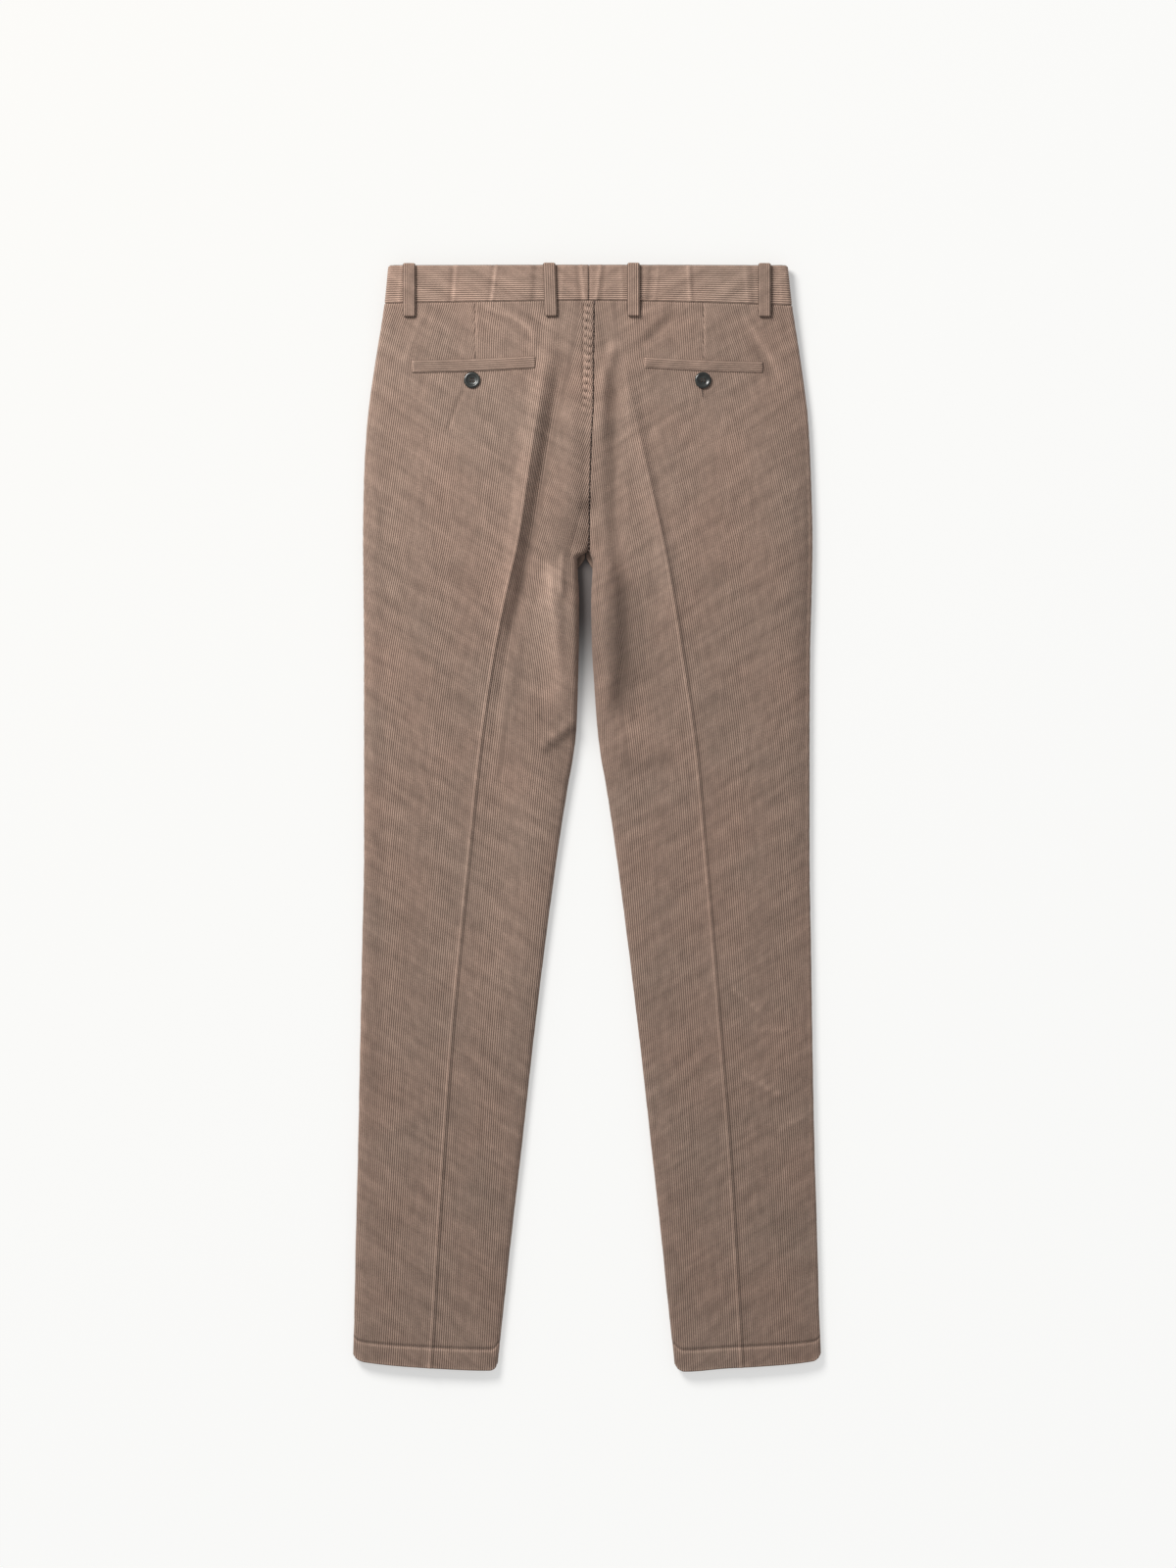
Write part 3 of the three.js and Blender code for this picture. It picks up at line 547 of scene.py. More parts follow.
# Upright creases across the waistband: x at the top edge, x at the seam, rise, reach
BAND_CREASES = [
    (-190.0, -193.0, 0.5, 1.4),
    (-134.0, -137.0, 0.8, 1.3),
    (-138.5, -141.0, -0.5, 1.6),
    (-93.0, -98.0, 0.9, 1.4),
    (-97.0, -101.5, -0.4, 1.6),
    (-54.0, -56.0, -0.6, 3.0),
    (-25.0, -28.0, 0.35, 1.6),
    (-7.0, -4.0, 0.8, 1.3),
    (-12.0, -8.0, -0.5, 2.0),
    (12.6, 8.0, 0.8, 1.3),
    (17.0, 13.0, -0.5, 2.0),
    (33.0, 35.0, 0.4, 1.6),
    (64.0, 61.0, -0.5, 2.4),
    (72.0, 67.0, 0.45, 1.5),
    (102.0, 104.0, 0.8, 1.3),
    (106.0, 108.0, -0.35, 1.8),
    (160.0, 163.0, 0.4, 1.6),
    (166.0, 169.0, -0.4, 2.0),
    (195.0, 197.0, 0.4, 1.5),
]


def ease(value, low, high):
    """Smooth step from 0 at low to 1 at high."""
    t = np.clip((np.asarray(value, dtype=float) - low) / (high - low), 0, 1)
    return t * t * (3 - 2 * t)


def mix(a, b, t):
    return a + (b - a) * t


def bell(off, reach):
    return np.exp(-((off / reach) ** 2))


def beside(off, soft_line):
    """What a soft line adds at a distance off the line that it lies beside."""
    line, amount, reach = soft_line
    return amount * bell(off - line, reach)


def curve(xs, ys):
    """Smooth curve through points, which never overshoots them and stays level past the ends."""
    steps = np.diff(ys) / np.diff(xs)
    inner = np.zeros(len(xs) - 2)
    same = steps[:-1] * steps[1:] > 0
    inner[same] = 2 * steps[:-1][same] * steps[1:][same] / (steps[:-1] + steps[1:])[same]
    slopes = np.concatenate(([steps[0]], inner, [steps[-1]]))

    def value(x):
        x = np.clip(np.asarray(x, dtype=float), xs[0], xs[-1])
        i = np.clip(np.searchsorted(xs, x) - 1, 0, len(xs) - 2)
        width = xs[i + 1] - xs[i]
        t = (x - xs[i]) / width
        rise = (ys[i + 1] - ys[i]) * t * t * (3 - 2 * t)
        bend = slopes[i] * t * (1 - t) ** 2 - slopes[i + 1] * t * t * (1 - t)
        return ys[i] + rise + width * bend

    return value


def columns(table, names):
    return {name: curve(table[:, 0], table[:, i]) for i, name in enumerate(names) if i}


SHAPE = {
    **columns(SECTIONS, SECTION_COLUMNS),
    **columns(INNER_LEG, INNER_COLUMNS),
    **columns(SEAT_SEAM, ("y", "seat_x", "seat_top")),
    **columns(FRONT_SEAM, ("y", "front_x")),
    **columns(WAIST_SEAM, ("x", "waist")),
}
for side_name in SIDES:
    SHAPE.update(columns(HEM_STRAY[side_name], ("x", "hem_" + side_name)))
    SHAPE.update(columns(TROUGH[side_name], ("y", "trough_" + side_name)))
    SHAPE.update(columns(INNER_RUN[side_name], ("y", "run_" + side_name)))


def underside(y):
    """Underside of the front panels: raised at the waistband by the belt loops under it."""
    return (BAND_UNDERSIDE + SEAM_GAP) * (1 - ease(y, BAND_SEAM, FRONT_RISE_END))


def seam_height(y):
    return underside(y) + SEAM_HEIGHT


def cloth_at(y):
    return mix(CLOTH, HEM_CLOTH, ease(y, HEM_TOP - 4, HEM_TOP))


def inner_edge(side, y, seam, fork):
    """The centre seam's x down to the fork, and the leg's inner edge below it."""
    half = SIDES[side] * SEAM_GAP / 2
    share = ease(y, fork[side] - 4, fork[side] + 5)
    return mix(SHAPE[seam](y) - half, SHAPE["leg_" + side](y), share)


def turned(side, y, fork):
    """How far the inner edge is rounded over: not at the centre seam, fully on the leg."""
    return ease(y, fork[side] - 16, fork[side] + 4)


def line_rise(points, rise, reach, x, y):
    """A soft ridge or trough along a line of points, fading out towards its two ends."""
    best = np.full(np.shape(x), np.inf)
    along = np.zeros(np.shape(x))
    lengths = [math.dist(a, b) for a, b in zip(points, points[1:])]
    passed = 0.0
    for (ax, ay), (bx, by), length in zip(points, points[1:], lengths):
        t = np.clip(((x - ax) * (bx - ax) + (y - ay) * (by - ay)) / length**2, 0, 1)
        away = np.hypot(x - mix(ax, bx, t), y - mix(ay, by, t))
        nearer = away < best
        best = np.where(nearer, away, best)
        along = np.where(nearer, (passed + t * length) / sum(lengths), along)
        passed += length
    fade = ease(along, 0, LINE_FADE) * (1 - ease(along, 1 - LINE_FADE, 1))
    return rise * fade * bell(best, reach)


def side_share(t, away, y):
    """The back rises fast beside its rim and slowly further in, flatter down the legs."""
    fast = mix(0.2, 0.72, ease(y, 60, 420))
    return fast * (1 - np.exp(-away / ROUND_REACH)) + (1 - fast) * t


def back_height(side, x, y):
    """Height of the back's outer face between its two rounded edges."""
    inward = SIDES[side]
    edge = SHAPE["out_" + side](y) + inward * FOLD
    middle = SHAPE["crease_" + side](y)
    top = SHAPE["ridge_" + side](y)
    fork = FORK_BACK[side]
    inner_side = mix(SHAPE["seat_x"](y), SHAPE["leg_" + side](y), ease(y, fork - 60, fork + 8))
    end = inner_side - inward * INNER_FOLD
    t = np.clip((x - edge) / (middle - edge), 0, 1)
    outer = mix(SHAPE["rim"](y), top, side_share(t, t * np.abs(middle - edge), y))
    t = np.clip((x - end) / (middle - end), 0, 1)
    low = mix(SHAPE["seat_top"](y), SHAPE["top"](y), ease(y, fork - 8, fork + 16))
    inner = mix(low, top, side_share(t, t * np.abs(middle - end), y))
    height = np.where((x - middle) * inward <= 0, outer, inner)
    for strength, folds in ((1.0, FOLDS), (SMALL_FOLD_STRENGTH, SMALL_FOLDS)):
        for _name, points, rise, reach in folds:
            height = height + strength * line_rise(points, rise, reach, x, y)
    off = x - middle
    reach = np.where(off < 0, CREASE_REACH, CREASE_DROP)
    height = height + CREASE_RISE * ease(y, *CREASE_START) * np.exp(-np.abs(off) / reach)
    height = height + ease(y, *GROOVE_START) * beside(off, CREASE_GROOVE)
    return height + hem_relief(y) + dart_relief(side, x, y) + seat_relief(side, x, y)


def rubbed(side, x, y):
    """Painted light on the back: how much lighter it is made, with painted highlight, or darker below nought, with
    painted shade, along the crease, the puckers, the listed lines, the dart, the side seam's rim and the hem.
    """
    off = x - SHAPE["crease_" + side](y)
    # Painted highlight left of the crease and painted shade right of it, and painted highlight and shade on the
    # puckers
    shade_total = ease(y, *CREASE_LIGHT_START) * beside(off, CREASE_LIGHT)
    shade_total = shade_total + ease(y, *CREASE_DARK_START) * beside(off, CREASE_DARK)
    shade_total = shade_total + PUCKER_LIGHT * pucker(side, x, y + 0 * x)
    # Painted highlight and painted shade along the listed lines
    for _name, points, shade, reach in PAINTED_SHADE_LINES:
        shade_total = shade_total + line_rise(points, shade, reach, x, y + 0 * x)
    # Painted highlight beside the dart and along the side seam's rim
    dart = ease(y, *DART_START) * (1 - ease(y, DART_TIP - 6, DART_TIP))
    shade_total = shade_total + dart * beside(x - DART_X[side], DART_LIGHT)
    shade_total = shade_total + beside((x - SHAPE["out_" + side](y)) * SIDES[side], RIM_LIGHT)
    # Painted highlight at the hem's seam with painted shade just above it, and at the hem's edge
    shade_total = shade_total + beside(y - HEM_TOP, HEM_SEAM_LIGHT) + beside(y - HEM_TOP, HEM_SEAM_DARK)
    return shade_total + beside(y - HEM_LINE, HEM_EDGE_LIGHT)


def hem_relief(y):
    """The stitched line above the hem sinks in, and the turned-up cloth below it is fuller."""
    return beside(y - HEM_TOP, HEM_SINK) + beside(y - HEM_TOP, HEM_FULLNESS)


def dart_relief(side, x, y):
    """The dart is a sunk line with a raised lip beside it."""
    fade = ease(y, *DART_START) * (1 - ease(y, DART_TIP - 25, DART_TIP + 2))
    off = x - DART_X[side]
    return fade * (beside(off, DART_LIP) + beside(off, DART_SINK))


def pucker(side, x, y):
    """The felled seat seam's puckers, from -1 to 1, which die out below the pockets."""
    off = SHAPE["seat_x"](y) - x if side == "left" else np.zeros(np.shape(x))
    fade = ease(y, *SEAT_START) * (1 - ease(y, *PUCKERS_END))
    knuckle = 2 * np.abs(np.sin(math.pi * (y + PUCKER_SLANT * off) / PUCKER_PITCH)) - 1
    within = ease(off, 0.3, 3.0) * (1 - ease(off, 0.75 * FELL_WIDTH, FELL_WIDTH))
    return fade * knuckle * within


def seat_relief(side, x, y):
    """The seat seam sinks in, and so does the edge of its felled side."""
    off = np.abs(x - SHAPE["seat_x"](y))
    fade = ease(y, *SEAT_START) * (1 - ease(y, *SEAT_END))
    sunk = beside(off, SEAT_SINK)
    if side == "left":
        sunk = sunk + (1 - ease(y, *FELL_END)) * beside(off, FELL_SINK)
    return PUCKER * pucker(side, x, y) + fade * sunk


def row_at(side, x, y):
    """Rows bend with the waistband seam at the top and with the hem at the bottom."""
    top = (SHAPE["waist"](x) + SEAM_GAP - BAND_SEAM) * (1 - ease(y, BAND_SEAM, TOP_BEND_END))
    return y + top + SHAPE["hem_" + side](x) * ease(y, HEM_BEND_START, HEM_LINE)


def place(x, y, z):
    """From the draft to the frame, in metres."""
    return np.stack([(x - CENTRE_X) * MM, (CENTRE_Y - y) * MM, z * MM], axis=-1)


def run_length(steps):
    """Distance run along each row of points, from nought, given the steps between them."""
    return np.concatenate([np.zeros((*steps.shape[:-1], 1)), np.cumsum(steps, axis=-1)], axis=-1)


def section(side, y, kind):
    """The outer face of each row as a fine path: x, z and the length along it."""
    inward = SIDES[side]
    y = y[:, None]
    if kind == "back":
        fork, inner_fold, centre_seam, gap = FORK_BACK, INNER_FOLD, "seat_x", SEAM_GAP
    else:
        fork, inner_fold, centre_seam, gap = FORK_FRONT, FOLD, "front_x", -SEAM_GAP

    def height(x):
        return back_height(side, x, y) if kind == "back" else underside(y) + 0 * x

    seam = seam_height(y) + gap / 2
    edge = SHAPE["out_" + side](y) + inward * FOLD
    middle = SHAPE["crease_" + side](y)
    end = inner_edge(side, y, centre_seam, fork) - inward * inner_fold
    angle = (1 - np.linspace(0, 1, FOLD_POINTS)[:-1]) * math.pi / 2
    xs = [edge - inward * FOLD * np.sin(angle)]
    zs = [mix(seam, height(edge), np.cos(angle))]
    spread = 0.5 - 0.5 * np.cos(np.linspace(0, 1, FACE_POINTS) * math.pi)
    for a, b in ((edge, middle), (middle, end)):
        x = mix(a, b, spread)
        xs.append(x[:, :-1])
        zs.append(height(x)[:, :-1])
    turn = turned(side, y, fork)
    t = np.linspace(0, 1, EDGE_POINTS)
    last_x = end + inward * inner_fold * mix(t, np.sin(t * math.pi / 2), turn)
    last = height(end)
    folded = last - (last - seam) * (1 - np.cos(t * math.pi / 2))
    x = np.hstack([*xs, last_x])
    z = np.hstack([*zs, mix(height(last_x), folded, turn)])
    return x, z, run_length(np.hypot(np.diff(x, axis=1), np.diff(z, axis=1)))


def directions(x, z):
    """Directions of paths in their own plane, for paths that run from the side in."""
    dx, dz = np.gradient(x, axis=1), np.gradient(z, axis=1)
    length = np.hypot(dx, dz)
    return dx / length, dz / length


def runs_of_wales(side, y, kind, x, s):
    """For each row, the places of the wales' four lines along the path, run by run."""
    inward = SIDES[side]
    crease = SHAPE["crease_" + side](y)
    run = SHAPE["run_" + side]
    start, end = s[:, 0], s[:, -1]

    def along(line):
        return np.array([np.interp(inward * line[i], inward * x[i], s[i]) for i in range(len(y))])

    def apart(line, row):
        """How far a line is from the middle run's line at a row."""
        near = np.argmin(np.abs(y - row))
        return line[near] - middle[near]

    def edge_until(line, row):
        """A run's edge, which below a row stays halfway between two wales of the middle run."""
        steady = (np.floor(apart(line, row) / WALE) + 0.5) * WALE
        return np.where(y < row, line, middle + steady)

    if kind == "front":
        return [wales(start, end, along(crease))]
    above = np.clip(DART_TIP - y, 0, None)
    outer = along(crease + OUTER_LEAN[side] * above)
    middle = along(crease + MIDDLE_LEAN[side] * above)
    dart = edge_until(along(np.full(len(y), DART_X[side])), DART_TIP)
    away = run(RUN_JOIN) - SHAPE["crease_" + side](RUN_JOIN)
    inner = along(np.where(y > RUN_JOIN, crease + away, run(y)))
    gap = apart(inner, RUN_JOIN)
    whole = np.round(gap / WALE) * WALE
    inner = np.where(y > RUN_JOIN, middle + whole, inner + whole - gap)
    trough = edge_until(along(SHAPE["trough_" + side](y)), TROUGH_END)
    dart = np.clip(dart, start, end)
    trough = np.clip(trough, dart, end)
    soft = np.where(y < RUN_JOIN, RUN_FADE, 0.0)
    return [wales(start, dart, outer), wales(dart, trough, middle, fade_high=soft),
            wales(trough, end, inner, fade_low=soft)]


def wales(low, high, follow, fade_low=0.0, fade_high=0.0):
    """Lines of wales beside a line that they follow, cut off or faded out at low and high."""
    first = int(np.floor(np.min((low - follow) / WALE))) - 1
    last = int(np.ceil(np.max((high - follow) / WALE))) + 1
    count = np.arange(first, last + 1)
    places = (count[:, None] + np.array(WALE_PLACES)[None, :]).ravel() * WALE
    heights, tones = np.tile(WALE_HEIGHTS, len(count)), np.tile(WALE_TONES, len(count))
    s = follow[:, None] + places[None, :]
    low, high = low[:, None], high[:, None]
    strength = np.ones(s.shape)
    for fade, away in ((fade_low, s - low), (fade_high, high - s)):
        fade = np.reshape(fade, (-1, 1))
        faded = ease(away / np.maximum(fade, TINY), 0, 1)
        strength = strength * np.where(fade > 0, faded, 1.0)
    cut = (s < low + RUN_SNAP) | (s > high - RUN_SNAP)
    s = np.where(s < low + RUN_SNAP, low, s)
    s = np.where(s > high - RUN_SNAP, high, s)
    s = np.maximum(np.minimum(s, high), low)
    heights, tones = np.where(cut, VALLEY, heights), np.where(cut, 0.0, tones)
    return s, mix(FADED_HEIGHT, heights, strength), mix(FADED_TONE, tones, strength)


def stitch_faces(a, b, sa, sb):
    """Triangles between two rows of points, taken in the order of their places."""
    faces = []
    i = j = 0
    while i < len(a) - 1 or j < len(b) - 1:
        if j == len(b) - 1 or (i < len(a) - 1 and sa[i + 1] <= sb[j + 1]):
            faces.append((a[i], a[i + 1], b[j]))
            i += 1
        else:
            faces.append((a[i], b[j + 1], b[j]))
            j += 1
    return np.array(faces)


def quads(a, b, c, d):
    """Two triangles for each set of four corners."""
    a, b, c, d = (np.ravel(v) for v in (a, b, c, d))
    return np.concatenate([np.stack([a, b, c], -1), np.stack([a, c, d], -1)])


def corners(grid):
    return grid[:-1, :-1], grid[:-1, 1:], grid[1:, 1:], grid[1:, :-1]


def facing_out(points, faces):
    a, b, c = (points[faces[:, i]] for i in range(3))
    volume = np.einsum("ij,ij->i", a, np.cross(b, c)).sum()
    return faces if volume > 0 else faces[:, ::-1]


def in_scene(name, data):
    obj = bpy.data.objects.new(name, data)
    bpy.context.scene.collection.objects.link(obj)
    return obj


def mesh_in_scene(name, points, edges, faces):
    mesh = bpy.data.meshes.new(name)
    mesh.from_pydata(points, edges, faces)
    return in_scene(name, mesh)


def applied(obj):
    """Turns an object's modifiers into its own mesh."""
    graph = bpy.context.evaluated_depsgraph_get()
    mesh = bpy.data.meshes.new_from_object(obj.evaluated_get(graph))
    mesh.polygons.foreach_set("use_smooth", np.ones(len(mesh.polygons), dtype=bool))
    obj.modifiers.clear()
    obj.data = mesh
    return mesh


def finish_piece(obj, slot, stands_for=None):
    """A piece that rides on the body, and that may stand for a node of the CAD model."""
    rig.ride(obj, "root")
    if stands_for:
        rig.replaces(obj, stands_for)
    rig.slot(obj, slot)
    return obj


def cloth_wall(name, outer, inner, faces, rims, looks, material):
    """A closed wall of cloth. Its outer points have looks, its inner ones are plain, and its
    rims are left unsmoothed."""
    points = np.concatenate([outer, inner])
    faces = facing_out(points, np.concatenate([faces, rims]))
    obj = mesh_in_scene(name, points.tolist(), [], faces.tolist())
    mesh = obj.data
    mesh.polygons.foreach_set("use_smooth", np.arange(len(faces)) < len(faces) - len(rims))
    for key, values in looks.items():
        plain = np.full((len(inner), *values.shape[1:]), INNER_TONE if key == "wale" else 0.0)
        kind, field = ("FLOAT", "value") if values.ndim == 1 else ("FLOAT_VECTOR", "vector")
        layer = mesh.attributes.new(key, kind, "POINT")
        layer.data.foreach_set(field, np.concatenate([values, plain]).ravel())
    mesh.materials.append(material)
    mesh.update()
    return finish_piece(obj, "corduroy", name)


def panel(name, side, kind, material):
    """One leg panel: wales raised on its outer face, a plain inner face and closed rims."""
    spacing = PANEL_ROWS[kind]
    y = np.concatenate([np.arange(low, high, share * spacing) for low, high, share in ROW_STEPS])
    x, z, s = section(side, y, kind)
    dx, dz = directions(x, z)
    outward = SIDES[side] if kind == "back" else -SIDES[side]
    runs = runs_of_wales(side, y, kind, x, s)
    places, heights, tones = (np.hstack(parts) for parts in zip(*runs))
    rng = np.random.default_rng(PANEL_SEEDS[kind, side])
    heights = heights * (1 + rng.normal(0, WALE_UNEVENNESS, places.shape))
    # Painted light: the right leg's wales get less contrast
    tones = mix(FADED_TONE, tones, WALE_CONTRAST[side])
    fresh = np.ones(places.shape, dtype=bool)
    fresh[:, 1:] = np.diff(places, axis=1) > SAME_PLACE
    even = np.linspace(0, 1, PANEL_COLUMNS[kind])
    spread = mix(even, 0.5 - 0.5 * np.cos(even * math.pi), 0.3)
    inner_places = s[:, -1:] * spread

    def lifted(i, along, rise):
        """Points of row i at places along it, raised off the face, with their x."""
        px, pz, tx, tz = (np.interp(along, s[i], values[i]) for values in (x, z, dx, dz))
        length = np.hypot(tx, tz)
        ox, oz = -outward * tz / length, outward * tx / length
        return px, place(px + ox * rise, row_at(side, px, y[i]), pz + oz * rise)

    outer, inner, cloth, lit_and_shaded = [], [], [], []
    for i, keep in enumerate(fresh):
        along = places[i][keep]
        px, points = lifted(i, along, heights[i][keep])
        outer.append(points)
        cloth.append(np.column_stack([along * MM, np.full(len(along), y[i] * MM), 0 * px]))
        # Painted light and shade on the back; none on the front
        lit_and_shaded.append(rubbed(side, px, y[i]) if kind == "back" else 0 * px)
        inner.append(lifted(i, inner_places[i], -cloth_at(y[i]))[1])
    outer, inner, cloth, lit_and_shaded = (np.concatenate(rows) for rows in (outer, inner, cloth, lit_and_shaded))
    index = np.cumsum(fresh.ravel()).reshape(fresh.shape) - 1
    grid = len(outer) + np.arange(inner_places.size).reshape(inner_places.shape)
    face = quads(*corners(index))
    face = face[(face[:, 0] != face[:, 1]) & (face[:, 1] != face[:, 2])]
    a, b, c, d = corners(grid)
    top, low = (stitch_faces(np.unique(index[i]), grid[i], places[i][fresh[i]], inner_places[i])
                for i in (0, -1))
    rims = [quads(index[:-1, 0], index[1:, 0], grid[1:, 0], grid[:-1, 0]),
            quads(index[:-1, -1], grid[:-1, -1], grid[1:, -1], index[1:, -1]),
            top[:, [0, 2, 1]], low]
    looks = {"wale": tones[fresh], "cloth": cloth, "rubbed": lit_and_shaded}
    faces = np.concatenate([face, quads(a, d, c, b)])
    return cloth_wall(name, outer, inner, faces, np.concatenate(rims), looks, material)


def shell(name, outer, inner, tone, cloth, lit_and_shaded, material):
    """A closed wall between two grids of points, with the wales' tone on its outer face."""
    shape = outer.shape[:2]
    grid = np.arange(shape[0] * shape[1]).reshape(shape)
    back = grid + grid.size
    a, b, c, d = corners(back)
    faces = np.concatenate([quads(*corners(grid)), quads(a, d, c, b)])
    rims = np.concatenate([
        quads(grid[:-1, 0], grid[1:, 0], back[1:, 0], back[:-1, 0]),
        quads(grid[1:, -1], grid[:-1, -1], back[:-1, -1], back[1:, -1]),
        quads(grid[0, 1:], grid[0, :-1], back[0, :-1], back[0, 1:]),
        quads(grid[-1, :-1], grid[-1, 1:], back[-1, 1:], back[-1, :-1]),
    ])
    looks = {"wale": np.broadcast_to(tone, shape).ravel(), "cloth": cloth.reshape(-1, 3),
             "rubbed": np.broadcast_to(lit_and_shaded, shape).ravel()}
    outer, inner = outer.reshape(-1, 3), inner.reshape(-1, 3)
    return cloth_wall(name, outer, inner, faces, rims, looks, material)


def wale_rows(width):
    """Places across a strip of cloth in millimetres, with each place's height and tone."""
    count = np.arange(0, int(width / WALE) + 2)
    places = (count[:, None] * WALE + np.array(WALE_PLACES)[None, :] * WALE).ravel() - WALE / 4
    heights, tones = np.tile(WALE_HEIGHTS, len(count)), np.tile(WALE_TONES, len(count))
    keep = (places > STRIP_MARGIN) & (places < width - STRIP_MARGIN)
    places = np.concatenate([[0.0], places[keep], [width]])
    heights = np.concatenate([[VALLEY], heights[keep], [VALLEY]])
    tones = np.concatenate([[STRIP_EDGE_TONE], tones[keep], [STRIP_EDGE_TONE]])
    return places, heights, tones


def band_relief(x, share):
    """Upright creases across the waistband, and its sunk seam at the centre back."""
    rise = beside(x - BAND_SEAM_X, BAND_SEAM_SINK)
    for top, low, height, reach in BAND_CREASES:
        rise = rise + BAND_CREASE_STRENGTH * height * bell(x - mix(top, low, share), reach)
    return rise


def band_edges(share):
    """The waistband rolls over at its top edge and sinks in at its seam."""
    return beside(share * BAND_HEIGHT, BAND_TOP_ROLL) + beside((1 - share) * BAND_HEIGHT, BAND_FOOT_SINK)


def waistband(side, material):
    """Half of the waistband, from the centre back round the side fold to the closing in front."""
    inward = SIDES[side]
    half = inward * SEAM_GAP / 2
    places, heights, tones = wale_rows(BAND_HEIGHT)
    share = (places / places[-1])[:, None]
    edge = SHAPE["out_" + side](mix(WAIST_TOP, BAND_SEAM, share)) + inward * BAND_FOLD
    t = np.linspace(0, 1, BAND_POINTS)[:-1]
    top_x = mix(BAND_SEAM_X - half, edge, t)
    level, high = (back_height(side, x, np.full_like(x, BAND_SEAM)) + BAND_PROUD
                   for x in (top_x, edge))
    middle = (high + BAND_UNDERSIDE) / 2
    angle = np.linspace(0, math.pi, EDGE_POINTS)
    fold_x = edge - inward * BAND_FOLD * np.sin(angle)
    fold_z = middle + (high - middle) * np.cos(angle)
    low_x = mix(edge, FRONT_CLOSING_X - half, np.linspace(0, 1, BAND_FRONT_POINTS)[1:])
    x = np.hstack([top_x, fold_x, low_x])
    z = np.hstack([level, fold_z, BAND_UNDERSIDE + 0 * low_x])
    dx, dz = directions(x, z)
    nx, nz = inward * dz, -inward * dx
    creases = band_relief(top_x, share)
    hidden = np.zeros((len(x), x.shape[1] - top_x.shape[1]))
    edges = band_edges(share)
    lift = (creases + edges) * (1 - ease(t, 0.93, 1.0))
    rise = np.hstack([lift, edges + hidden]) + heights[:, None]
    y = mix(WAIST_TOP, SHAPE["waist"](x), share)
    outer = place(x + nx * rise, y, z + nz * rise)
    inner = place(x - nx * BAND_CLOTH, y, z - nz * BAND_CLOTH)
    along = run_length(np.hypot(np.diff(x, axis=1), np.diff(z, axis=1)))
    cloth = np.stack([y * MM, along * MM, 0 * x], -1)
    # Painted light on the band: a little lighter overall, painted highlight and shade following its creases, and
    # painted highlight at its foot
    lit_and_shaded = BAND_LIGHT + np.hstack([BAND_CREASE_LIGHT * creases, hidden]) + beside(share, BAND_FOOT_LIGHT)
    return shell("waistband_" + side, outer, inner, tones[:, None], cloth, lit_and_shaded, material)


def strip(name, centre, up, width, depth, material):
    """A strip of cloth along a path of points, given the direction off its face at each."""
    places, heights, tones = wale_rows(width)
    roll = bell(places, ROLL_REACH) + bell(width - places, ROLL_REACH)
    across = np.zeros((1, len(places), 3))
    across[0, :, 0] = (places - width / 2) * MM
    rise = ((heights - roll * LOOP_ROLL) * MM)[None, :, None]
    outer = centre[:, None] + across + up[:, None] * rise
    inner = centre[:, None] + across - up[:, None] * depth * MM
    cloth = np.zeros(outer.shape)
    cloth[..., 0] = places[None, :] * MM
    cloth[..., 1] = run_length(np.linalg.norm(np.diff(centre, axis=0), axis=1))[:, None]
    # Painted highlight along the strip's rolled edges
    return shell(name, outer, inner, tones[None, :], cloth, LOOP_EDGE_HIGHLIGHT * roll[None, :], material)


def belt_loop(name, x, lean, upper, lower, up, arch, material):
    """A loop that stands off the waistband, its feet on the band's edge and on the panel."""
    high = upper + up * (SEAM_GAP + arch + LOOP_CLOTH)
    low = lower + up * (SEAM_GAP + arch + LOOP_CLOTH)
    foot, toe = upper + up * SEAM_GAP, lower + up * SEAM_GAP
    end = LOOP_FOOT - LOOP_TOP
    path = np.array([
        (0, foot), (0, mix(foot, high, 0.5)), (0.4, mix(foot, high, 0.8)),
        (1.6, mix(foot, high, 0.97)), (4, high), (20, high), (36, high),
        (44, mix(high, low, 0.5)), (49, low), (52.2, mix(toe, low, 0.97)),
        (end - 0.3, mix(toe, low, 0.8)), (end, mix(toe, low, 0.5)), (end, toe),
    ])
    y, z = path[:, 0] + LOOP_TOP, path[:, 1]
    length = run_length(np.hypot(np.diff(y), np.diff(z)))
    near_end = np.linspace(0, LOOP_BEND, LOOP_BEND_POINTS)
    fine = np.unique(np.concatenate([np.linspace(0, length[-1], LOOP_POINTS), near_end,
                                     length[-1] - near_end]))
    py, pz = curve(length, y)(fine), curve(length, z)(fine)
    dy, dz = np.gradient(py, fine), np.gradient(pz, fine)
    size = np.hypot(dy, dz)
    py = py - LOOP_PROUD * (1 - py / py.max())
    centre = place(x + lean * py / LOOP_FOOT, py, pz)
    off = np.stack([0 * dy, up * dz / size, up * dy / size], -1)
    return strip(name, centre, off, LOOP_WIDTH, LOOP_CLOTH, material)


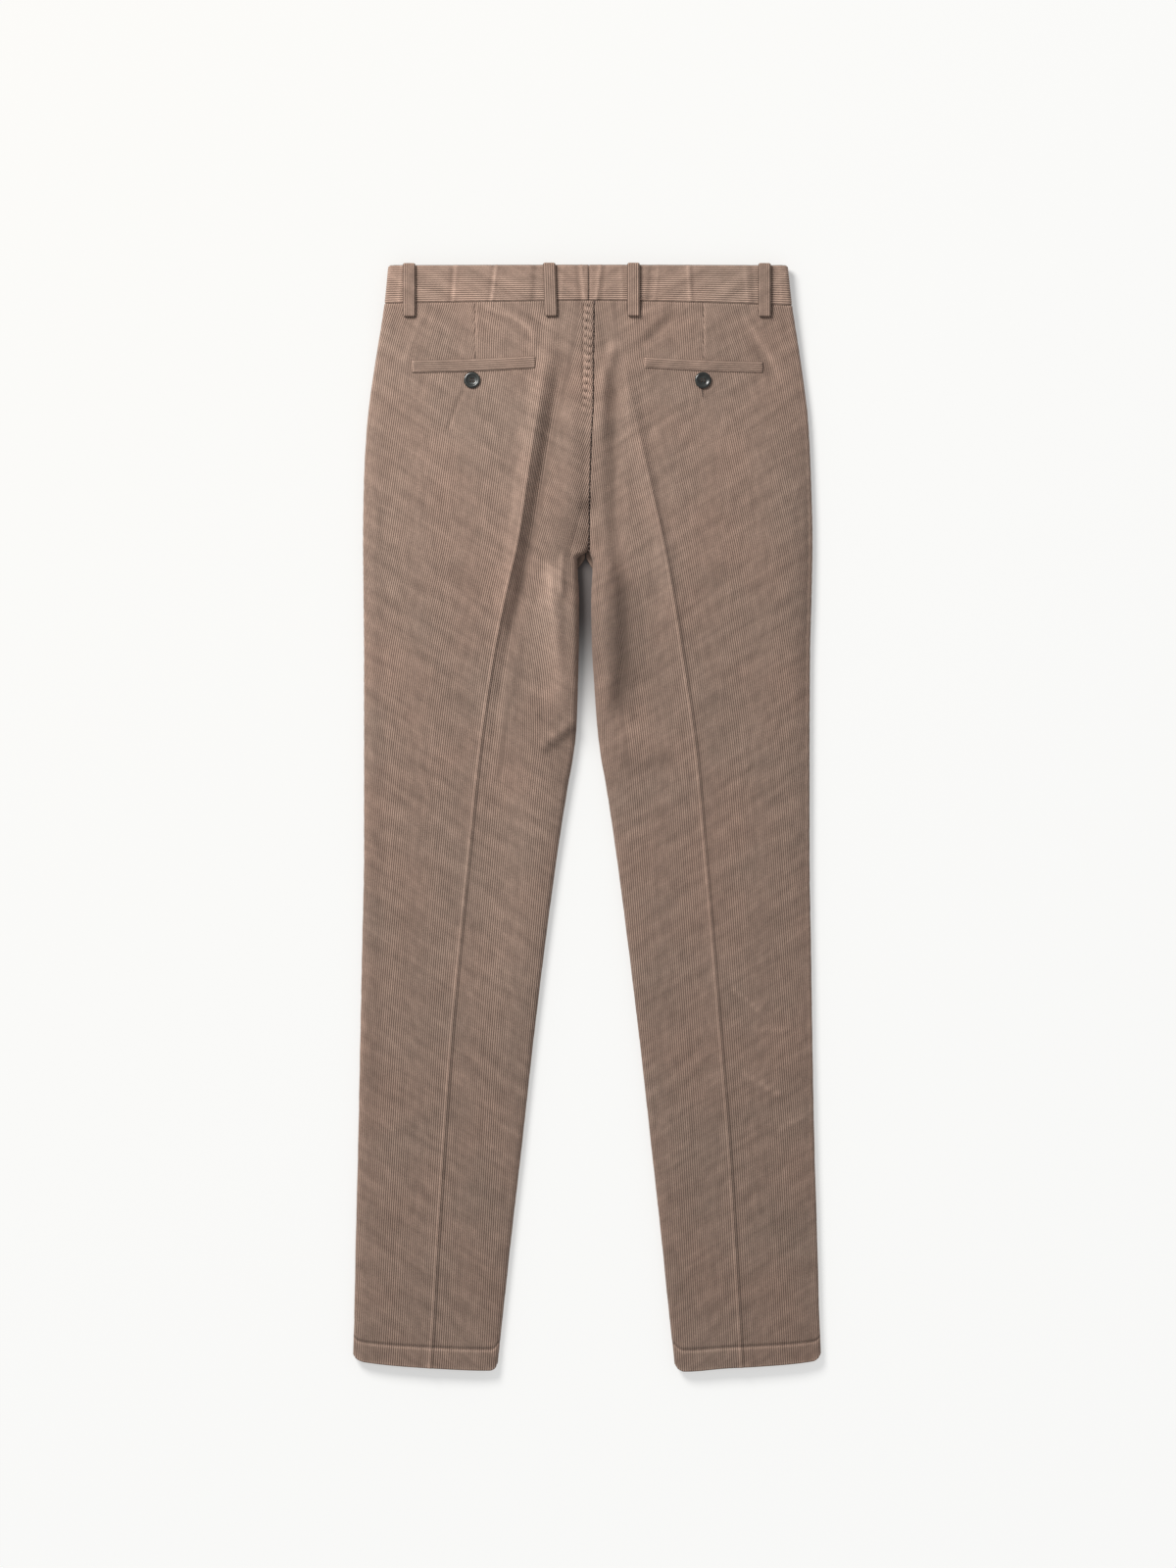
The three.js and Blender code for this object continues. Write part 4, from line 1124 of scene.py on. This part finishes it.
def welt(name, side, x0, x1, top0, top1, height, material):
    """A pocket welt lying on the panel, its wales running along it."""
    places, heights, tones = wale_rows(height)
    places, heights = places[:, None], heights[:, None]
    t = np.linspace(0, 1, WELT_POINTS)[None, :]
    x = np.linspace(x0, x1, WELT_POINTS)[None, :]
    y = mix(top0, top1, (x - x0) / (x1 - x0)) + places + WELT_SAG * np.sin(math.pi * t)
    x = x + 0 * y
    ground = back_height(side, x, y)
    ends = bell(x - x0, WELT_END_REACH) + bell(x1 - x, WELT_END_REACH)
    sides = bell(places, ROLL_REACH) + bell(height - places, ROLL_REACH)
    roll = np.clip(ends + sides, 0, 1)
    crown = WELT_CROWN * np.sin(math.pi * places / height)
    rise = SEAM_GAP + WELT_LIFT + WELT_CLOTH + crown + heights - WELT_ROLL * roll
    outer = place(x, y, ground + rise)
    inner = place(x, y, ground + WELT_UNDERSIDE)
    cloth = np.stack([y * MM, x * MM, 0 * y], -1)
    # Painted highlight on the welt's rolled edges and ends, painted shade over the whole welt
    lit_and_shaded = WELT_EDGE_HIGHLIGHT * roll - WELT_SHADE
    return shell(name, outer, inner, tones[:, None], cloth, lit_and_shaded, material)


def hole_cutters():
    """Four round rods where a button's holes are."""
    points, faces = [], []
    steps = range(HOLE_SIDES)
    for right, up in ((1, 1), (-1, 1), (-1, -1), (1, -1)):
        base = len(points)
        for z in HOLE_ENDS:
            for k in steps:
                angle = 2 * math.pi * k / HOLE_SIDES
                x = HOLE_REACH * right + HOLE_RADIUS * math.cos(angle)
                y = HOLE_REACH * up + HOLE_RADIUS * math.sin(angle)
                points.append((x * MM, y * MM, z * MM))
        faces.append(tuple(base + k for k in reversed(steps)))
        faces.append(tuple(base + HOLE_SIDES + k for k in steps))
        for k in steps:
            n = (k + 1) % HOLE_SIDES
            faces.append((base + k, base + n, base + HOLE_SIDES + n, base + HOLE_SIDES + k))
    return mesh_in_scene("hole cutters", points, [], faces)


def button(name, side, x, y, material):
    """A sew-through button with a raised rim, a dished middle and four holes, lying on the
    back. Gives its turn and its place."""
    points, faces = [], []
    for r, h in BUTTON_PROFILE:
        size = r * BUTTON_RADIUS / BUTTON_PROFILE_RADIUS
        for k in range(1 if r == 0 else BUTTON_SIDES):
            angle = 2 * math.pi * k / BUTTON_SIDES
            points.append((size * math.cos(angle) * MM, size * math.sin(angle) * MM, h * MM))
    rings = [0] + [1 + BUTTON_SIDES * i for i in range(len(BUTTON_PROFILE) - 1)]
    for k in range(BUTTON_SIDES):
        n = (k + 1) % BUTTON_SIDES
        faces.append((0, rings[1] + k, rings[1] + n))
        for a, b in zip(rings[1:-2], rings[2:-1]):
            faces.append((a + k, b + k, b + n, a + n))
        faces.append((rings[-1], rings[-2] + n, rings[-2] + k))
    obj = mesh_in_scene(name, points, [], faces)
    cutter = hole_cutters()
    modifier = obj.modifiers.new("holes", "BOOLEAN")
    modifier.operation = "DIFFERENCE"
    modifier.solver = "EXACT"
    modifier.object = cutter
    mesh = applied(obj)
    bpy.data.objects.remove(cutter)
    reach = BUTTON_REST
    rise_x = float(back_height(side, x + reach, y) - back_height(side, x - reach, y)) / (2 * reach)
    rise_y = float(back_height(side, x, y + reach) - back_height(side, x, y - reach)) / (2 * reach)
    normal = Vector((-rise_x, rise_y, 1)).normalized()
    turn = Vector((0, 0, 1)).rotation_difference(normal).to_matrix().to_4x4()
    ground = float(back_height(side, x, y))
    spot = Vector(place(x, y, ground).tolist()) + normal * (SEAM_GAP + BUTTON_LIFT) * MM
    mesh.transform(Matrix.Translation(spot) @ turn)
    mesh.materials.clear()
    mesh.materials.append(material)
    mesh.set_sharp_from_angle(angle=math.radians(BUTTON_SHARP))
    finish_piece(obj, "button", name)
    return turn, spot


def set_inputs(tree, made, inputs):
    """Each input is a value, or the output of another node that feeds it."""
    for key, value in inputs.items():
        if isinstance(value, bpy.types.NodeSocket):
            tree.links.new(value, made.inputs[key])
        else:
            made.inputs[key].default_value = value


def node(tree, kind, inputs=None, **settings):
    made = tree.nodes.new(kind)
    for key, value in settings.items():
        setattr(made, key, value)
    set_inputs(tree, made, inputs or {})
    return made


def sockets(tree, in_out, rows):
    """Gives a node group its inputs or outputs, each a label and a kind."""
    for label, kind in rows:
        tree.interface.new_socket(label, in_out=in_out, socket_type="NodeSocket" + kind)


def stitch_tree():
    """Geometry Nodes: stitches laid end to end along a line, with named sizes."""
    tree = bpy.data.node_groups.new("Stitches along a line", "GeometryNodeTree")
    sockets(tree, "INPUT", (("Line", "Geometry"), ("Spacing", "Float"), ("Length", "Float"),
                            ("Thickness", "Float"), ("Thread", "Material")))
    sockets(tree, "OUTPUT", (("Stitches", "Geometry"),))
    given = node(tree, "NodeGroupInput").outputs
    line = node(tree, "GeometryNodeMeshToCurve", {"Mesh": given["Line"]})
    spots = node(tree, "GeometryNodeResampleCurve",
                 {"Curve": line.outputs[0], "Length": given["Spacing"]}, mode="LENGTH")
    ball = node(tree, "GeometryNodeMeshUVSphere", {"Segments": 6, "Rings": 4, "Radius": 0.5})
    size = node(tree, "ShaderNodeCombineXYZ",
                {"X": given["Thickness"], "Y": given["Thickness"], "Z": given["Length"]})
    tangent = node(tree, "GeometryNodeInputTangent")
    align = node(tree, "FunctionNodeAlignRotationToVector", {"Vector": tangent.outputs[0]}, axis="Z")
    copies = node(tree, "GeometryNodeInstanceOnPoints",
                  {"Points": spots.outputs[0], "Instance": ball.outputs["Mesh"],
                   "Rotation": align.outputs[0], "Scale": size.outputs[0]})
    real = node(tree, "GeometryNodeRealizeInstances", {0: copies.outputs[0]})
    paint = node(tree, "GeometryNodeSetMaterial",
                 {"Geometry": real.outputs[0], "Material": given["Thread"]})
    node(tree, "NodeGroupOutput", {"Stitches": paint.outputs[0]})
    return tree


def stitches(name, lines, tree, material, spacing, length, thickness):
    """Threads along one or more lines of points in the frame."""
    points, edges = [], []
    for line in lines:
        base = len(points)
        points += [tuple(p) for p in line]
        edges += [(base + i, base + i + 1) for i in range(len(line) - 1)]
    obj = mesh_in_scene(name, points, edges, [])
    modifier = obj.modifiers.new("stitches", "NODES")
    modifier.node_group = tree
    wanted = {"Spacing": spacing * MM, "Length": length * MM, "Thickness": thickness * MM,
              "Thread": material}
    for item in tree.interface.items_tree:
        if item.in_out == "INPUT" and item.name in wanted:
            modifier[item.identifier] = wanted[item.name]
    applied(obj)
    return finish_piece(obj, "corduroy")


def on_back(side, x, y, lift):
    """Points on the outer face of a back panel, lifted off it."""
    x, y = np.broadcast_arrays(np.asarray(x, dtype=float), np.asarray(y, dtype=float))
    return place(x, row_at(side, x, y), back_height(side, x, y) + lift)


def sums(tree, operation, *values):
    return node(tree, "ShaderNodeMath", dict(enumerate(values)), operation=operation).outputs["Value"]


def vector_sums(tree, operation, *values):
    return node(tree, "ShaderNodeVectorMath", dict(enumerate(values)), operation=operation).outputs


def noise(tree, spot, size_and_detail):
    scale, detail = size_and_detail
    inputs = {"Vector": spot, "Scale": scale, "Detail": detail}
    return node(tree, "ShaderNodeTexNoise", inputs).outputs["Fac"]


def ramp(tree, level, *stops):
    """Colours between two stops, each a position and a colour."""
    made = node(tree, "ShaderNodeValToRGB", {"Fac": level})
    for i, (position, colour) in enumerate(stops):
        made.color_ramp.elements[i].position = position
        made.color_ramp.elements[i].color = (*colour, 1)
    return made.outputs["Color"]


def attribute(tree, name):
    return node(tree, "ShaderNodeAttribute", attribute_name=name).outputs


def pile_bands(tree, spot):
    """Soft slanting bands, mirrored from leg to leg, where the pile lies a little differently."""
    parts = node(tree, "ShaderNodeSeparateXYZ", {0: spot}).outputs
    mirrored = {"X": sums(tree, "ABSOLUTE", parts["X"]), "Y": parts["Y"]}
    slanted = node(tree, "ShaderNodeMapping",
                   {"Vector": node(tree, "ShaderNodeCombineXYZ", mirrored).outputs["Vector"],
                    "Rotation": (0, 0, BAND_TURN), "Scale": BAND_SIZE}, vector_type="TEXTURE")
    level = node(tree, "ShaderNodeMapRange",
                 {"Value": noise(tree, slanted.outputs["Vector"], BAND_NOISE), "From Min": 0.3,
                  "From Max": 0.7, "To Min": 1 - BAND_TONE, "To Max": 1 + BAND_TONE})
    return level.outputs["Result"]


def cloth_group():
    """Shader group: corduroy's tone from its wales, with painted highlight on the crests and painted shade in the
    valleys, its pile, a faint mottling, and the painted light and shade stored on the pieces.
    """
    tree = bpy.data.node_groups.new("Corduroy pile", "ShaderNodeTree")
    sockets(tree, "INPUT", (("Crest", "Color"), ("Valley", "Color"), ("Wale", "Float"),
                            ("Mottling", "Float"), ("Pile", "Float")))
    sockets(tree, "OUTPUT", (("Color", "Color"), ("Height", "Float")))
    given = node(tree, "NodeGroupInput").outputs
    spot = node(tree, "ShaderNodeTexCoord").outputs["Object"]
    show = node(tree, "ShaderNodeMapRange",
                {"Value": noise(tree, spot, PATCH_NOISE), "From Min": 0.35, "From Max": 0.7,
                 "To Min": 0.8, "To Max": 0.95})
    faded = node(tree, "ShaderNodeMix",
                 {"Factor": show.outputs["Result"], "A": FADED_TONE, "B": given["Wale"]},
                 data_type="FLOAT")
    tone = node(tree, "ShaderNodeMix",
                {"Factor": faded.outputs["Result"], "A": given["Valley"], "B": given["Crest"]},
                data_type="RGBA")
    tint = ramp(tree, noise(tree, spot, TINT_NOISE), *TINTS)
    rosy = node(tree, "ShaderNodeMix",
                {"Factor": given["Mottling"], "A": tone.outputs["Result"], "B": tint},
                data_type="RGBA", blend_type="MULTIPLY")
    stretch = vector_sums(tree, "MULTIPLY", attribute(tree, "cloth")["Vector"], PILE_STRETCH)
    pile = noise(tree, stretch["Vector"], PILE_NOISE)
    both = sums(tree, "ADD", pile, noise(tree, stretch["Vector"], WORN_NOISE))
    spread = sums(tree, "MULTIPLY", sums(tree, "SUBTRACT", both, 1.0), given["Pile"])
    banded = sums(tree, "MULTIPLY", sums(tree, "ADD", spread, 1.0), pile_bands(tree, spot))
    # The painted light and shade stored on each piece lighten or darken the cloth
    lighter = sums(tree, "MULTIPLY_ADD", attribute(tree, "rubbed")["Fac"], PAINTED_SHADE_GAIN, 1.0)
    shade = node(tree, "ShaderNodeVectorMath",
                 {0: rosy.outputs["Result"], "Scale": sums(tree, "MULTIPLY", banded, lighter)},
                 operation="SCALE")
    node(tree, "NodeGroupOutput", {"Color": shade.outputs["Vector"], "Height": pile})
    return tree


def new_material(name, inputs):
    """A material, with its node tree and its Principled BSDF, whose inputs are set."""
    material = bpy.data.materials.new(name)
    material.use_nodes = True
    tree = material.node_tree
    principled = tree.nodes["Principled BSDF"]
    set_inputs(tree, principled, inputs)
    return material, tree, principled


def corduroy(group, name, crest, valley):
    """Matt cloth whose tone follows its wales, painted highlight on each crest and painted shade in each valley, with
    a little sheen.
    """
    material, tree, principled = new_material(name, {
        "Roughness": 0.9, "Specular IOR Level": 0.15, "Sheen Weight": 0.25,
        "Sheen Roughness": 0.45, "Sheen Tint": (0.95, 0.82, 0.76, 1)})
    tone = node(tree, "ShaderNodeGroup", node_tree=group)
    set_inputs(tree, tone, {"Crest": (*crest, 1), "Valley": (*valley, 1), "Mottling": 0.45,
                            "Pile": 0.6, "Wale": attribute(tree, "wale")["Fac"]})
    bump = node(tree, "ShaderNodeBump",
                {"Strength": 0.5, "Distance": 0.0003, "Height": tone.outputs["Height"]})
    set_inputs(tree, principled, {"Base Color": tone.outputs["Color"],
                                  "Normal": bump.outputs["Normal"]})
    return material


def thread(name, colour):
    """Sewing thread: matt, with a fine twist."""
    material, tree, principled = new_material(name, {"Roughness": 0.7})
    twist = noise(tree, node(tree, "ShaderNodeTexCoord").outputs["Object"], TWIST_NOISE)
    dark, light = [0.75 * c for c in colour], [min(1, 1.2 * c) for c in colour]
    set_inputs(tree, principled, {"Base Color": ramp(tree, twist, (0.0, dark), (1.0, light))})
    return material


def horn():
    """Dark polished button: near black with faint grey-green clouds."""
    material, tree, principled = new_material(
        "Dark horn button", {"Coat Weight": 0.5, "Coat Roughness": 0.12})
    cloud = noise(tree, node(tree, "ShaderNodeTexCoord").outputs["Object"], HORN_NOISE)
    rough = node(tree, "ShaderNodeMapRange", {"Value": cloud, "To Min": 0.2, "To Max": 0.4})
    set_inputs(tree, principled, {"Base Color": ramp(tree, cloud, *HORN_TONES),
                                  "Roughness": rough.outputs["Result"]})
    return material


def even_glow(tree, principled):
    """The floor glows by just what the key light lacks there, so that it looks evenly white. Between the thighs it
    carries a painted shadow: that glow is taken away and the floor's colour is darker."""
    aim = (Vector(KEY_AIM) - Vector(KEY_PLACE)).normalized()
    spot = node(tree, "ShaderNodeTexCoord").outputs["Object"]
    towards = vector_sums(tree, "SUBTRACT", KEY_PLACE, spot)["Vector"]
    facing = vector_sums(tree, "DOT_PRODUCT", towards, -aim)["Value"]
    far = vector_sums(tree, "LENGTH", towards)["Value"]
    light = sums(tree, "DIVIDE", facing, sums(tree, "POWER", far, 4.0))
    glow = sums(tree, "MULTIPLY_ADD", light, -FLOOR_TONE * KEY_REACH * KEY_POWER * KEY_PLACE[2],
                FLOOR_WHITE - FLOOR_TONE * WORLD_STRENGTH)
    # Painted shadow between the thighs: inside a soft oval the floor's colour is darker and it has no glow
    near = node(tree, "ShaderNodeMapping",
                {"Vector": spot, "Location": SHADE_PLACE, "Scale": SHADE_SIZE}, vector_type="TEXTURE")
    out = vector_sums(tree, "LENGTH", near.outputs["Vector"])["Value"]
    outside_painted_shadow = node(tree, "ShaderNodeMapRange", {"Value": out, "From Min": 0.35, "From Max": 1.0},
                      interpolation_type="SMOOTHSTEP").outputs["Result"]
    tone = node(tree, "ShaderNodeMix",
                {"Factor": outside_painted_shadow,
                 "A": (SHADE_TONE, SHADE_TONE * 0.9, SHADE_TONE * 0.87, 1),
                 "B": (FLOOR_TONE, FLOOR_TONE, FLOOR_TONE * 0.99, 1)}, data_type="RGBA")
    set_inputs(tree, principled, {
        "Emission Color": (*BACKDROP, 1), "Base Color": tone.outputs["Result"],
        "Emission Strength": sums(tree, "MULTIPLY", glow, outside_painted_shadow)})


def studio():
    """Soft light from all round, behind a plain white backdrop that only the camera sees."""
    world = bpy.data.worlds.new("studio")
    world.use_nodes = True
    tree = world.node_tree
    soft = tree.nodes["Background"]
    set_inputs(tree, soft, {"Color": (0.97, 0.985, 1.0, 1), "Strength": WORLD_STRENGTH})
    backdrop = node(tree, "ShaderNodeBackground", {"Color": (*BACKDROP, 1), "Strength": FLOOR_WHITE})
    seen = node(tree, "ShaderNodeLightPath")
    both = node(tree, "ShaderNodeMixShader",
                {0: seen.outputs["Is Camera Ray"], 1: soft.outputs[0], 2: backdrop.outputs[0]})
    set_inputs(tree, tree.nodes["World Output"], {"Surface": both.outputs[0]})
    return world


def floor_and_light():
    """A plain white floor under soft light that comes mostly from the upper left."""
    half = FLOOR_HALF
    square = [(-half, -half, 0), (half, -half, 0), (half, half, 0), (-half, half, 0)]
    floor = mesh_in_scene("floor", square, [], [(0, 1, 2, 3)])
    floor.location.z = FLOOR_LEVEL
    white, tree, principled = new_material("White floor", {"Roughness": 0.95, "Specular IOR Level": 0.0})
    even_glow(tree, principled)
    floor.data.materials.append(white)
    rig.stage(floor)
    key = bpy.data.lights.new("key light", "AREA")
    key.shape = "DISK"
    key.size = KEY_SIZE
    key.energy = KEY_POWER
    key.color = KEY_COLOUR
    key_object = in_scene("key light", key)
    key_object.location = KEY_PLACE
    aim = Vector(KEY_AIM) - Vector(KEY_PLACE)
    key_object.rotation_euler = aim.to_track_quat("-Z", "Y").to_euler()
    bpy.context.scene.world = studio()
    bpy.context.scene.view_settings.view_transform = "Standard"


def camera():
    """Looks straight down at the trousers from high up."""
    data = bpy.data.cameras.new("camera")
    data.sensor_fit = "AUTO"
    data.sensor_width = SENSOR
    data.lens = SENSOR * CAMERA_DISTANCE / (VIEW_HEIGHT * MM)
    data.clip_end = 20
    obj = in_scene("camera", data)
    x, y, _z = place(VIEW_X, VIEW_Y, 0.0)
    obj.location = (x, y, CAMERA_DISTANCE)
    obj.rotation_euler = (0, 0, 0)
    bpy.context.scene.camera = obj


def thread_bars(turn, spot):
    """Two lines of thread across a button, each from hole to hole."""
    reach = HOLE_REACH * MM
    bars = []
    for across in (-reach, reach):
        ends = np.linspace(-reach, reach, 6)
        bars.append([tuple(turn @ Vector((across, along, BAR_HEIGHT * MM)) + spot) for along in ends])
    return bars


# Stage
camera()
floor_and_light()
cord = corduroy(cloth_group(), "Taupe corduroy", CREST_COLOUR, VALLEY_COLOUR)
dark_thread = thread("Dark thread", (0.07, 0.045, 0.036))
cloth_thread = thread("Taupe thread", (0.27, 0.185, 0.15))
horn_material = horn()

# Panels and waistband
skins = {}
for side_name in SIDES:
    back = panel("back_" + side_name, side_name, "back", cord)
    front = panel("front_" + side_name, side_name, "front", cord)
    skins[side_name] = (back, front, waistband(side_name, cord))

# Belt loops and welts
for loop_name, loop_x, lean in BACK_LOOPS:
    on = "left" if loop_x < 0 else "right"
    band_top = float(back_height(on, loop_x, BAND_SEAM)) + BAND_PROUD
    foot = float(back_height(on, loop_x, LOOP_FOOT))
    loop = belt_loop(loop_name, loop_x, lean, band_top, foot, 1, LOOP_ARCH, cord)
    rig.sheet(loop, flat=(LOOP_WIDTH * MM, 0.064), held="laid", rests_on=["waistband_" + on])
for loop_name, loop_x, lean in FRONT_LOOPS:
    spare = BAND_UNDERSIDE - SEAM_GAP - LOOP_CLOTH
    loop = belt_loop(loop_name, loop_x, lean, BAND_UNDERSIDE, BAND_UNDERSIDE, -1, spare, cord)
    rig.sheet(loop, flat=(LOOP_WIDTH * MM, 0.06), held="laid", rests_on=["floor"])
for welt_name, on, x0, x1, top0, top1, height in WELTS:
    pocket_welt = welt(welt_name, on, x0, x1, top0, top1, height, cord)
    flat = ((x1 - x0) * MM, height * MM)
    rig.sheet(pocket_welt, flat=flat, held="laid", rests_on=["back_" + on])

# Buttons and fly shield
sewn = {}
for button_name, on, button_x, button_y in POCKET_BUTTONS:
    turn, spot = button(button_name, on, button_x, button_y, horn_material)
    sewn[button_name + "_thread"] = thread_bars(turn, spot)
for node_name, cover in (("waist_button", horn_material), ("fly_shield", cord)):
    carried = frame["nodes"][node_name]
    carried.data.materials.clear()
    carried.data.materials.append(cover)

# Stitching: spacing, length and thickness of the stitches in millimetres
stitching = stitch_tree()
for thread_name, bars in sewn.items():
    stitches(thread_name, bars, stitching, dark_thread, 0.5, 1.1, 0.8)
fly_y = np.concatenate([np.linspace(44, 150, 40), np.linspace(152, 190, 20)])
fly_x = -FLY_WIDTH * (1 - ease(fly_y, 150, 200))
fly_line = place(fly_x, fly_y, underside(fly_y) + 0.15)
stitches("fly_stitches", [fly_line], stitching, cloth_thread, 3.4, 2.6, 0.5)
seat_y = np.linspace(43, 292, 160)
seat_line = on_back("left", SHAPE["seat_x"](seat_y) - 0.5, seat_y, 0.1)
stitches("seat_stitches", [seat_line], stitching, dark_thread, 4.0, 2.0, 1.6)
slit = on_back("right", 116.5, np.linspace(128, 135, 20), 0.25)
stitches("buttonhole_stitches", [slit], stitching, dark_thread, 0.8, 1.6, 0.9)
for side_name, inward in SIDES.items():
    low_x = float(SHAPE["out_" + side_name](HEM_TOP) + inward * FOLD)
    high_x = float(SHAPE["leg_" + side_name](HEM_TOP) - inward * INNER_FOLD)
    line = on_back(side_name, np.linspace(low_x, high_x, 80), HEM_TOP, 0.1)
    stitches("hem_stitches_" + side_name, [line], stitching, cloth_thread, 3.4, 2.4, 0.45)

# Flat sizes and areas of the cut cloth
for side_name, (back, front, band) in skins.items():
    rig.sheet(back, flat=(0.31, 1.12), held="laid", rests_on=["front_" + side_name], area=0.245)
    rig.sheet(front, flat=(0.27, 1.11), held="laid", rests_on=["floor"], area=0.225)
    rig.sheet(band, flat=(0.435, 0.039), held="laid", rests_on=["back_" + side_name], area=0.016)

size = {"cad": cad_box, "visual": [list(map(float, corner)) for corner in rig.bounds()]}
with open("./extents.json", "w") as out_file:
    json.dump(size, out_file)
